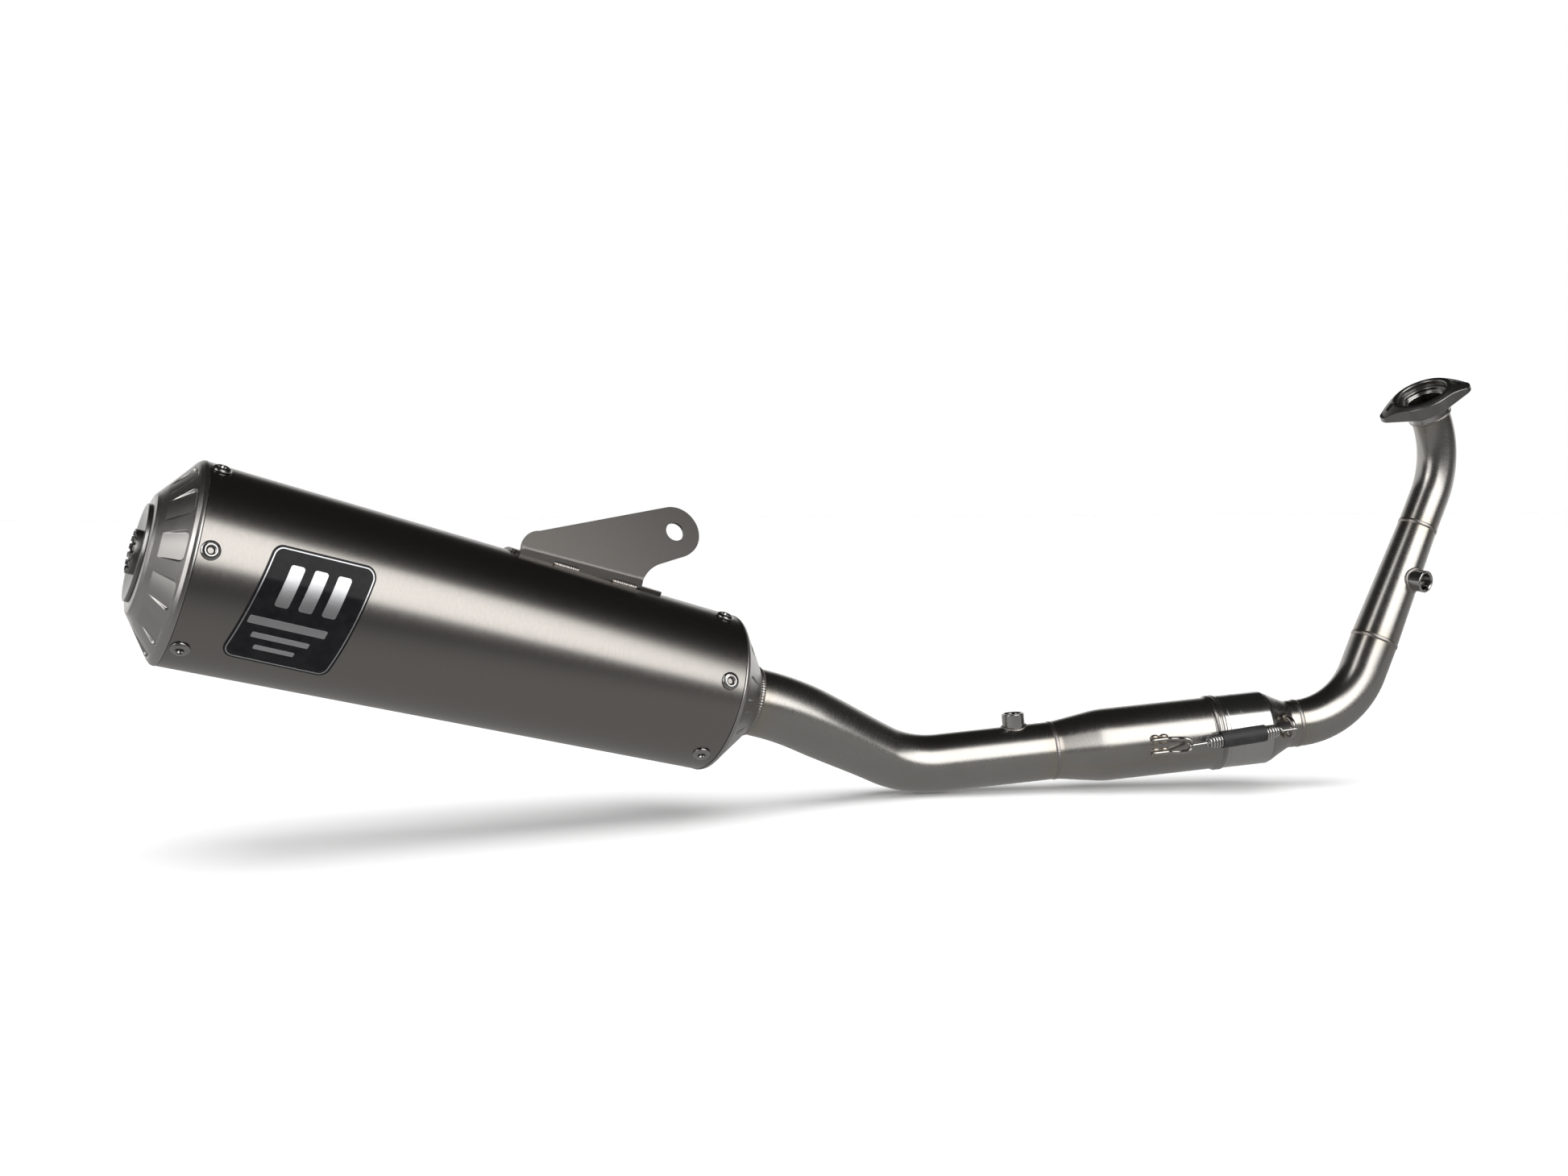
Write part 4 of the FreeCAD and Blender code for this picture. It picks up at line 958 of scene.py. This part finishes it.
def build_welds():
    piece = Piece()
    ring_weld(piece, collar, 14.7, 15.1, 1.1, 0.75, 1.3, 1, 0.5)
    ring_weld(piece, header, UPPER_R, CONE_START, 1.7, 0.38, 1.5, 2)
    ring_weld(piece, header, LOWER_R, CONE_END, 1.7, 0.38, 1.5, 3)
    ring_weld(piece, slip, LOWER_R, NECK, 1.7, 0.38, 1.5, 4)
    saddle_weld(piece, header_boss_at, HEADER_BOSS_PIPE_R, 5)
    s, _, up = HEADER_HOOK
    for k, side in enumerate((HEADER_LEG, -HEADER_LEG)):
        centre = on_slip(s, 20.6, up + side)
        lump(piece, centre, unit(centre - on_slip(s, 0, 0) + SLIP * -8.0), 3.2, 2.3, 6 + k)
    piece.build("header_weld_beads", "header", *WELD, "header_welds")
    piece = Piece()
    ring_weld(piece, slip, LINK_R, LINK_PIPE, 1.7, 0.38, 1.6, 11)
    ring_weld(piece, muffler, INLET_R, -27.0, 2.1, 1.35, 1.8, 12, 0.35)
    saddle_weld(piece, link_boss_at, LINK_R, 13)
    s, _, up = LINK_HOOK
    for k, level in enumerate((up + LINK_LEG, up - LINK_LEG)):
        rest = math.sqrt(26.6 ** 2 - level ** 2)
        for j, station in enumerate((s + 18.0, s + 24.5)):
            for side in (1.9, -1.9):
                p = on_slip(station, rest - 0.2, level + side)
                seed = 20 + 4 * k + 2 * j + (side > 0)
                lump(piece, p, unit(p - on_slip(station, 0, 0)), 1.9, 1.0, seed, 1.8)
    piece.build("link_weld_beads", "muffler_unit", *WELD, "link_welds")


def lump(piece, centre, out, width, height, seed, stretch=1.0):
    """A tack of weld metal: a low dome with ripples."""
    place = Place(centre, out, SLIP)
    rng = np.random.default_rng(seed)
    t, c, s = circle(36)
    shape = 1 + 0.06 * np.cos(2 * t + rng.uniform(0, 6)) + 0.05 * np.cos(3 * t + rng.uniform(0, 6))
    co, no = [], []
    for q in np.linspace(1.0, 0.12, 10):
        lift = math.sqrt(1 - q * q) * height * (1 + 0.06 * math.cos(q * 16)) - 0.5 * (q > 0.98)
        co.append(polar(width * q * shape, stretch * c, s, lift))
        no.append(polar(q, c / stretch, s, math.sqrt(1 - q * q) + 0.1))
    co, no = np.array(co), np.array(no)
    index = piece.rows(place.point(co), place.turn(no), co, warm=np.full(co.shape[:2], 0.8))
    for ring, level, normal in ((index[-1], height, place.z), (index[0], -0.9, -place.z)):
        tip = vec(0, 0, level)
        piece.pole(ring, place.point(tip), normal, tip)


# ---------------------------------------------------------------- muffler
REAR_FACE = SLEEVE_LENGTH + 24.0
RECESS_CORNER, RECESS_STEP = 4.0, TAU / 12


def sleeve_r(t):
    return SLEEVE_R + SLEEVE_FLARE * t / SLEEVE_LENGTH


def cap(name, node, outline, slope_a, slope_b, first, last, depth, half_wide, half_narrow):
    """A cast end cap: turned, with twelve tapering recesses in its slope from station first to last."""
    corners, corner_n = eased(outward(outline), 0.4, 5)
    a, b = vec(*slope_a), vec(*slope_b)
    slope, length = unit(b - a), float(np.linalg.norm(b - a))

    def away(p):
        """How far points lie off the slope's line."""
        return np.abs((p - a)[..., 0] * slope[1] - (p - a)[..., 1] * slope[0])

    pts, nrm = [], []
    for p, q, n_p, n_q in zip(corners, np.roll(corners, -1, 0), corner_n, np.roll(corner_n, -1, 0)):
        leg = np.linalg.norm(q - p)
        m = int(leg / 0.34) if away(p) < 0.15 and away(q) < 0.15 and leg > 3.0 else 1
        pts += [p + (q - p) * j / m for j in range(m)]
        nrm += [n_p * (1 - j / m) + n_q * j / m for j in range(m)]
    pts, nrm = np.array(pts), np.array(nrm)
    turns = 1080
    co, no, lay = spun(pts, nrm, muffler, turns)
    along, off = ((pts - a) @ slope)[:, None], away(pts)[:, None]
    t = circle(turns)[0] + math.radians(FIRST_RIVET)
    w = np.abs((t + RECESS_STEP / 2) % RECESS_STEP - RECESS_STEP / 2)[None, :] * pts[:, :1]
    c = RECESS_CORNER
    taper = np.clip((along - first - c) / (last + 3.0 - first - c), -1, 1)
    side, end = half_wide + (half_narrow - half_wide) * taper - w, along - first
    rounded = c - np.hypot(np.maximum(c - side, 0), np.maximum(c - end, 0))
    d = np.where((c > side) & (c > end), rounded, np.minimum(side, end))
    floor = depth / (last - first) * np.clip(last - along, 0, last - first)
    sink = floor * smoothstep(-0.15, 0.95, d) * (off < 0.3) * (along > 0) * (along < length)
    co = co - no * sink[..., None]
    relief = facing(across(co, 1), across(co, 0), no)
    inner = ((off < 0.2) & (along > 0.8) & (along < length - 0.8))[..., None]
    no = np.where(inner & (np.abs(np.sum(relief * no, -1, keepdims=True)) > 0.05), relief, no)
    piece = Piece()
    piece.rows(co, no, lay, wrap_v=True)
    piece.build(name, "muffler_unit", "cap_metal", cap_metal, node)


def build_muffler():
    lip = sleeve_r(18.0) - 1.05
    cap("inlet_cap_skin", "inlet_cap",
        [(51.95, 0.0), (53.3, 0.0, 0.15), (53.3, -1.0, 0.8), (52.7, -2.6, 1.5), (51.0, -4.0, 2.0),
         (29.5, -22.0, 2.5), (27.0, -24.0, 2.0), (25.0, -25.5, 1.0), (23.05, -25.5, 0.4), (23.05, -20.5),
         (27.9, -20.1), (49.4, -2.1), (49.9, 0.0), (lip - 2.0, 18.0), (lip, 18.0), (lip - 1.0, 0.6)],
        (51.0, -4.0), (29.5, -22.0), 3.0, 22.0, 1.1, 8.2, 5.4)
    z, f = SLEEVE_LENGTH, REAR_FACE
    lip = sleeve_r(z - 18.0) - 1.05
    cap("outlet_cap_skin", "outlet_cap",
        [(61.95, z), (63.26, z, 0.15), (63.26, z + 1.0, 1.0), (62.8, z + 2.6, 1.6), (61.0, z + 4.6, 2.0),
         (38.5, z + 21.6, 2.5), (36.6, z + 23.2, 1.5), (34.2, f, 0.6), (28.05, f, 0.3), (28.05, z + 21.5),
         (34.0, z + 21.5), (36.9, z + 19.6), (59.4, z + 2.6), (60.2, z), (lip - 2.0, z - 18.0),
         (lip, z - 18.0)],
        (61.0, z + 4.6), (38.5, z + 21.6), 2.0, 22.8, 1.6, 9.3, 7.2)
    turned([(52.0, 0.25), (53.0, 0.25, 0.25), (63.0, z - 0.25, 0.25), (62.0, z - 0.25)], muffler,
           "outer_sleeve_skin", "muffler_unit", ("sleeve_metal", sleeve_metal), "outer_sleeve", 320, 0.1)
    turned([(13.65, f - 3.0), (27.95, f - 3.0), (27.95, f + 0.05), (30.0, f + 0.05, 0.3), (30.0, f + 2.1, 0.4),
            (29.2, f + 2.6, 0.4), (27.8, f + 2.4, 0.5), (16.0, f - 0.6, 0.6), (15.2, f - 0.2, 0.4),
            (13.65, f - 0.2, 0.2)], muffler,
           "outlet_ring_skin", "muffler_unit", OUTLET, "outlet_ring", radius=0.2)
    build_outlet_tube()


def build_outlet_tube():
    """The tail tube, with sixteen small nicks round its end."""
    t, c, s = circle(288)
    off = np.abs((t + TAU / 32) % (TAU / 16) - TAU / 32) * 12.85
    nick = np.sqrt(np.maximum(0, 1.1 ** 2 - off ** 2))
    inside, end, outer, bore = 290.0, REAR_FACE + 5.5, 13.6, 12.1
    rows = ((outer, inside, 1, 0, 0), (outer, REAR_FACE - 1, 1, 0, 0), (outer, end - 1.8, 1, 0, 0),
            (outer, end - 0.25, 1, 0.2, 1), (outer - 0.25, end, 0.5, 1, 1), (bore + 0.25, end, -0.5, 1, 1),
            (bore, end - 0.25, -1, 0.2, 1), (bore, end - 1.8, -1, 0, 0), (bore, inside, -1, 0, 0))
    co = np.array([polar(r, c, s, z - nick * cut) for r, z, _, _, cut in rows])
    no = np.array([polar(nr, c, s, nz) for _, _, nr, nz, _ in rows])
    piece = Piece()
    piece.rows(muffler.point(co), muffler.turn(no), co, wrap_v=True)
    piece.build("outlet_tube_skin", "muffler_unit", *OUTLET, "outlet_tube")


def build_rivets():
    outline = [(0, -3.5), (2.4, -3.5), (2.4, 0.15), (5.6, 0.05, 0.1), (5.9, 0.35, 0.3), (5.75, 0.95, 0.5),
               (4.9, 1.8, 1.2), (3.7, 2.25, 0.8), (2.95, 2.2, 0.5), (2.35, 1.6, 0.4), (1.8, 0.6, 0.2),
               (1.7, -2.2, 0.1), (0.0, -2.2)]
    for name, t, node in (("front_rivet_heads", 11.0, "front_rivets"),
                          ("rear_rivet_heads", 346.8, "rear_rivets")):
        piece = Piece()
        for k in range(6):
            a = math.radians(FIRST_RIVET + 60.0 * k)
            d = vec(math.cos(a), -math.sin(a), 0)
            at = Place(muffler.point(d * sleeve_r(t) + vec(0, 0, t)), muffler.turn(d), AXIS)
            knob(piece, outline, at)
        piece.build(name, "muffler_unit", "rivet_steel", rivet_metal, node)


# ---------------------------------------------------------------- sheets: bracket and badge
def sheet(piece, outline, holes, low, high, edge, mapped, gap, extra=()):
    """A sheet cut to an outline in (t, b) with rounded edges, then laid by mapped(flat, bent)."""
    profile = eased([(-edge * 1.2, low), (0.0, low), (0.0, high), (-edge * 1.2, high)], edge, 3, False)
    top, under, tops, unders = {}, {}, [], []
    for k, loop in enumerate([outline] + holes):
        nxt = np.roll(loop, -1, 0)
        d = unit_rows(across(loop, 0))
        area = np.sum(loop[:, 0] * nxt[:, 1] - nxt[:, 0] * loop[:, 1])
        sign = 1.0 if (area > 0) == (k == 0) else -1.0
        flat, bent = swept(*profile, loop, np.stack([d[:, 1], -d[:, 0]], -1) * sign)
        index = piece.rows(*mapped(flat, bent), flat)
        flat_of(under, index[0], flat[0])
        flat_of(top, index[-1], flat[-1])
        unders.append(index[0])
        tops.append(index[-1])
    lo, hi = outline.min(0), outline.max(0)
    grid = [(x, y) for x in np.arange(lo[0], hi[0], gap[0]) for y in np.arange(lo[1], hi[1], gap[1])]
    grid = np.array(grid + list(extra))
    clear = within(grid, outline)
    for loop in [outline] + holes:
        for p in loop:
            clear &= np.linalg.norm(grid - p, axis=1) > edge * 1.5 + 0.5
    for loop in holes:
        clear &= ~within(grid, loop)
    grid = grid[clear]
    for store, level, up, loops in ((top, high, 1.0, tops), (under, low, -1.0, unders)):
        if len(grid):
            flat = np.column_stack([grid, np.full(len(grid), level)])
            flat_of(store, piece.points(*mapped(flat, np.tile(vec(0, 0, up), (len(grid), 1))), flat), flat)
        piece.fill(loops, store)


def rounded_loop(corners, radius, steps=8, gap=2.0):
    pts, _ = eased(corners, radius, steps)
    out = []
    for a, b in zip(pts, np.roll(pts, -1, 0)):
        n = max(1, int(np.linalg.norm(b - a) / gap))
        out += [a + (b - a) * k / n for k in range(n)]
    return np.array(out)


def laid(local, bent, e_b, e_h):
    """Points and normals of a sheet in the muffler's frame, e_b and e_h being its own two directions."""
    normal = bent[..., :1] * vec(0, 0, 1) + bent[..., 1:2] * e_b + bent[..., 2:3] * e_h
    return muffler.point(local), muffler.turn(normal)


BADGE_ANGLE = math.radians(101.0)


def on_sleeve(flat, bent):
    """Lays (station, height across, lift) on the sleeve, square to its badge side."""
    t, b, h = (flat[..., k] for k in range(3))
    r = sleeve_r(t) + h
    phi = BADGE_ANGLE - np.arcsin(np.clip(b / r, -1, 1))
    c, s = np.cos(phi), -np.sin(phi)
    return laid(polar(r, c, s, t), bent, np.stack([np.sin(phi), np.cos(phi), 0 * c], -1),
                polar(1, c, s, -SLEEVE_FLARE / SLEEVE_LENGTH))


def build_badge():
    plate = Piece()
    outline = rounded_loop([(249, 36), (262, -36), (326, -36), (312, 36)], 6.5)
    sheet(plate, outline, [], 0.02, 0.8, 0.3, on_sleeve, (4.0, 3.0))
    plate.build("badge_plate_skin", "muffler_unit", "badge_black", badge_black, "badge_plate")
    mark = Piece()
    for t in (264.0, 278.0, 292.0):
        bar = rounded_loop([(t, 27), (t + 4.6, 2), (t + 13.0, 2), (t + 8.4, 27)], 1.6, 5)
        sheet(mark, bar, [], 0.7, 1.0, 0.1, on_sleeve, (3.0, 3.0))
    for a, b, w in ((-6.0, -11.0, 46.0), (-16.0, -19.5, 34.0), (-24.0, -27.0, 24.0)):
        start, lean = 290.5 - w / 2 - a * 0.18 + 1.5, (a - b) * 0.18
        rule = rounded_loop([(start, a), (start + lean, b), (start + w + lean, b), (start + w, a)], 0.8, 4)
        sheet(mark, rule, [], 0.7, 1.0, 0.1, on_sleeve, (3.0, 3.0))
    rim = rounded_loop([(250.2, 35.0), (263.2, -35.0), (324.8, -35.0), (310.8, 35.0)], 5.6)
    inner = rounded_loop([(251.05, 34.3), (263.8, -34.3), (323.9, -34.3), (310.2, 34.3)], 5.0)
    sheet(mark, rim, [inner], 0.7, 0.88, 0.08, on_sleeve, (400.0, 400.0))
    mark.build("badge_emblem_bars", "muffler_unit", "badge_silver", badge_silver, "badge_emblem")


def arc3(a, m, b, steps):
    """Points of the arc through three 2D points."""
    a, m, b = vec(*a), vec(*m), vec(*b)
    d = 2 * (a[0] * (m[1] - b[1]) + m[0] * (b[1] - a[1]) + b[0] * (a[1] - m[1]))
    sq = [p @ p for p in (a, m, b)]
    cx = (sq[0] * (m[1] - b[1]) + sq[1] * (b[1] - a[1]) + sq[2] * (a[1] - m[1])) / d
    cy = (sq[0] * (b[0] - m[0]) + sq[1] * (a[0] - b[0]) + sq[2] * (m[0] - a[0])) / d
    c = vec(cx, cy)
    r = np.linalg.norm(a - c)
    t = [math.atan2(*(p - c)[::-1]) for p in (a, m, b)]
    up = (t[1] - t[0]) % TAU < (t[2] - t[0]) % TAU
    sweep = (t[2] - t[0]) % TAU if up else -((t[0] - t[2]) % TAU)
    turns = [t[0] + sweep * k / steps for k in range(steps + 1)]
    return [c + r * vec(math.cos(a), math.sin(a)) for a in turns]


def tangent_point(p, c, r, side):
    reach = math.hypot(p[0] - c[0], p[1] - c[1])
    turn = math.atan2(p[1] - c[1], p[0] - c[0]) + side * math.acos(r / reach)
    return vec(c[0] + r * math.cos(turn), c[1] + r * math.sin(turn))


HANGER_HOLE, HANGER_R, HOLE_R = (51.5, 40.3), 17.8, 6.5
HANGER_START, HANGER_END, HANGER_FOOT, HANGER_THICK = 70.8, 156.0, -6.6, 2.5
LEAN, FOLD_IN = math.radians(25.0), 1.6


def on_bracket(flat, bent):
    """Lays (station, height from the fold, depth) on the folded hanger: upright below, leaning above."""
    t, b, h = (flat[..., k] for k in range(3))
    radius = FOLD_IN + HANGER_THICK
    span = radius * LEAN
    a = np.clip((b + span / 2) / span, 0.0, 1.0) * LEAN
    below = np.minimum(b + span / 2, 0.0)
    above = np.maximum(b - span / 2, 0.0)
    c, s = np.cos(a), np.sin(a)
    x = 61.3 - span / 2 + below + radius * s + above * math.cos(LEAN)
    y = -11.0 + radius * (1 - c) + above * math.sin(LEAN)
    local = np.stack([x - s * h, y + c * h, t], -1)
    return laid(local, bent, polar(1, c, s, 0), np.stack([-s, c, 0 * a], -1))


def on_foot(flat, bent):
    """Lays (station, distance round, lift) on the top of the sleeve."""
    t, b, h = (flat[..., k] for k in range(3))
    phi = b / 56.0
    c, s = np.cos(phi), np.sin(phi)
    return laid(polar(sleeve_r(t) + h, c, s, t), bent, np.stack([-s, c, 0 * c], -1), polar(1, c, s, 0))


def build_bracket():
    c, r = HANGER_HOLE, HANGER_R
    front, rear = vec(59.0, 15.0), vec(145.1, 14.5)
    low, high = tangent_point(front, c, r, -1.0), tangent_point(rear, c, r, 1.0)
    foot_front, foot_rear = vec(HANGER_START, HANGER_FOOT), vec(HANGER_END, HANGER_FOOT)
    loop = [foot_front, vec(HANGER_START, -4.0), vec(HANGER_START, -2.0)]
    loop += arc3((HANGER_START, 0), (65.6, 9.3), front, 10)
    loop += run(front, low, 3.0)[1:-1]
    loop += arc3(low, (c[0] - r, c[1]), high, 40)
    loop += run(high, rear, 3.0)[1:-1]
    loop += arc3(rear, (153.1, 9.6), (HANGER_END, 0), 10)
    loop += [vec(HANGER_END, -2.0), vec(HANGER_END, -4.0), foot_rear]
    loop += run(foot_rear, foot_front, 3.0)[1:-1]
    hole = vec(*c) + HOLE_R * np.stack(circle(56)[1:], 1)
    extra = [(x, y) for x in np.arange(72.5, 154.5, 2.5) for y in (-1.4, -0.9, -0.45, 0.0, 0.45, 0.9, 1.4)]
    piece = Piece()
    sheet(piece, np.array(loop), [hole], 0.0, HANGER_THICK, 0.45, on_bracket, (4.0, 4.0), extra)
    foot = rounded_loop([(55.2, -10.2), (160.8, -10.2), (160.8, 21.5), (55.2, 21.5)], 3.0, 5, 2.5)
    sheet(piece, foot, [], 0.03, 2.0, 0.4, on_foot, (6.0, 3.0))
    piece.build("support_bracket_skin", "muffler_unit", "bracket_steel", bracket_metal, "support_bracket")
    weld = Piece()
    for k, (a, b) in enumerate(((75.0, 91.0), (116.0, 132.0))):
        t = np.linspace(a, b, 60)
        r0 = np.sqrt(sleeve_r(t) ** 2 - 11.3 ** 2)
        path = muffler.point(np.stack([r0 + 1.1, np.full(60, -11.3), t], -1))
        out = muffler.turn(np.tile(unit(vec(0.55, -0.85, 0)), (60, 1)))
        side = muffler.turn(np.tile(unit(vec(0.85, 0.55, 0)), (60, 1)))
        weld_along(weld, path, out, side, 1.8, 1.0, 1.6, False, 40 + k)
    weld.build("bracket_weld_beads", "muffler_unit", *WELD, "bracket_welds")


build_flange()
build_collar()
build_header()
build_boss("header_boss_skin", "header", "header_sensor_boss", header_boss_at, HEADER_BOSS_PIPE_R, 24.8)
build_boss("link_boss_skin", "muffler_unit", "link_sensor_boss", link_boss_at, LINK_R, 29.7)
build_slip()
build_link()
build_hooks()
build_spring()
build_welds()
build_muffler()
build_rivets()
build_badge()
build_bracket()

for node, material in (("perforated_core", core_metal), ("core_end_plate", core_metal),
                       ("rear_baffle", core_metal), ("sound_packing", wool)):
    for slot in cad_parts[node].material_slots:
        slot.material = material


# ---------------------------------------------------------------- floor, light and camera
SMOOTH = "SMOOTHSTEP"


def placed(name, data):
    obj = bpy.data.objects.new(name, data)
    bpy.context.scene.collection.objects.link(obj)
    return obj


def axis_of(nodes, kind, axis):
    """One axis of a texture coordinate."""
    split = nodes.add("ShaderNodeSeparateXYZ")
    nodes.link(nodes.add("ShaderNodeTexCoord").outputs[kind], split.inputs["Vector"])
    return split.outputs[axis]


def build_floor():
    """A pale floor. Mirror-like rays see it as a soft glow, stronger behind the object than before it."""
    low = cad_box[0][2]
    n, half = 24, 6.0
    me = bpy.data.meshes.new("floor")
    xs = np.linspace(-half, half, n)
    verts = [(x - 0.4, y, low) for y in xs for x in xs]
    corners = [j * n + i for j in range(n - 1) for i in range(n - 1)]
    faces = [(k, k + 1, k + n + 1, k + n) for k in corners]
    me.from_pydata(verts, [], faces)
    obj = placed("floor", me)
    mat = bpy.data.materials.new("floor_pale")
    mat.use_nodes = True
    g = Nodes(mat.node_tree)
    shader = g.tree.nodes["Principled BSDF"]
    shader.inputs["Base Color"].default_value = (0.88, 0.88, 0.88, 1)
    shader.inputs["Roughness"].default_value = 0.42
    shader.inputs["Specular IOR Level"].default_value = 0.35
    y = axis_of(g, "Object", "Y")
    glow = g.add("ShaderNodeEmission")
    behind = g.ranged(y, 0.12, 0.60, 0.0, 0.62, SMOOTH)
    before = g.ranged(y, -0.62, -0.22, 0.13, 0.38, SMOOTH)
    g.link(g.math("ADD", behind, before), glow.inputs["Strength"])
    g.ray_choice("Is Glossy Ray", shader, glow, g.tree.nodes["Material Output"])
    me.materials.append(mat)


def lamp(name, at, target, size, power):
    data = bpy.data.lights.new(name, "AREA")
    data.shape = "RECTANGLE"
    data.size, data.size_y = size
    data.energy = power
    obj = placed(name, data)
    obj.location = at
    obj.rotation_euler = (Vector(target) - Vector(at)).to_track_quat("-Z", "Y").to_euler()
    obj.visible_camera = False


def overhead_light():
    data = bpy.data.lights.new("overhead_light", "SUN")
    data.energy = 3.55
    data.angle = math.radians(70.0)
    obj = placed("overhead_light", data)
    obj.rotation_euler = (math.radians(-6.0), math.radians(4.0), 0.0)
    obj.visible_glossy = False


def build_world():
    """A dim studio with a pale wall low behind the object; the camera sees plain white."""
    world = bpy.data.worlds.new("studio")
    bpy.context.scene.world = world
    world.use_nodes = True
    g = Nodes(world.node_tree)
    g.tree.nodes.clear()
    y, z = axis_of(g, "Generated", "Y"), axis_of(g, "Generated", "Z")
    wall = g.math("MULTIPLY", g.ranged(y, 0.15, 0.6, kind=SMOOTH), g.ranged(z, 0.26, 0.46, 1.0, 0.0, SMOOTH))
    level = g.math("ADD", g.math("ADD", wall, g.ranged(z, 0.0, 0.12, 0.09, 0.0, SMOOTH)), 0.025)
    dim, white = g.add("ShaderNodeBackground"), g.add("ShaderNodeBackground")
    g.link(level, dim.inputs["Strength"])
    for shader in (dim, white):
        shader.inputs["Color"].default_value = (1, 1, 1, 1)
    g.ray_choice("Is Camera Ray", dim, white, g.add("ShaderNodeOutputWorld"))


def build_camera():
    data = bpy.data.cameras.new("camera")
    data.sensor_fit = "HORIZONTAL"
    data.sensor_width = 36.0
    data.lens = 43.47
    data.clip_start, data.clip_end = 0.05, 50.0
    obj = placed("camera", data)
    obj.location = (-0.6770, -1.3127, -0.0424)
    yaw, pitch = math.radians(8.7), math.radians(4.0)
    look = Vector((math.sin(yaw) * math.cos(pitch), math.cos(yaw) * math.cos(pitch), -math.sin(pitch)))
    obj.rotation_euler = look.to_track_quat("-Z", "Y").to_euler()
    bpy.context.scene.camera = obj


build_floor()
build_world()
lamp("front_softbox", (1.1, -2.2, 1.62), (1.1, 0.0, 1.62), (2.9, 3.1), 98.0)
lamp("side_softbox", (-1.8, -0.65, 1.0), (0.0, 0.0, -0.1), (0.5, 1.1), 4.5)
lamp("tail_softbox", (-2.3, -1.0, 0.35), (-0.85, -0.15, -0.12), (1.0, 1.3), 8.5)
overhead_light()
build_camera()
bpy.context.scene.view_settings.view_transform = "Standard"
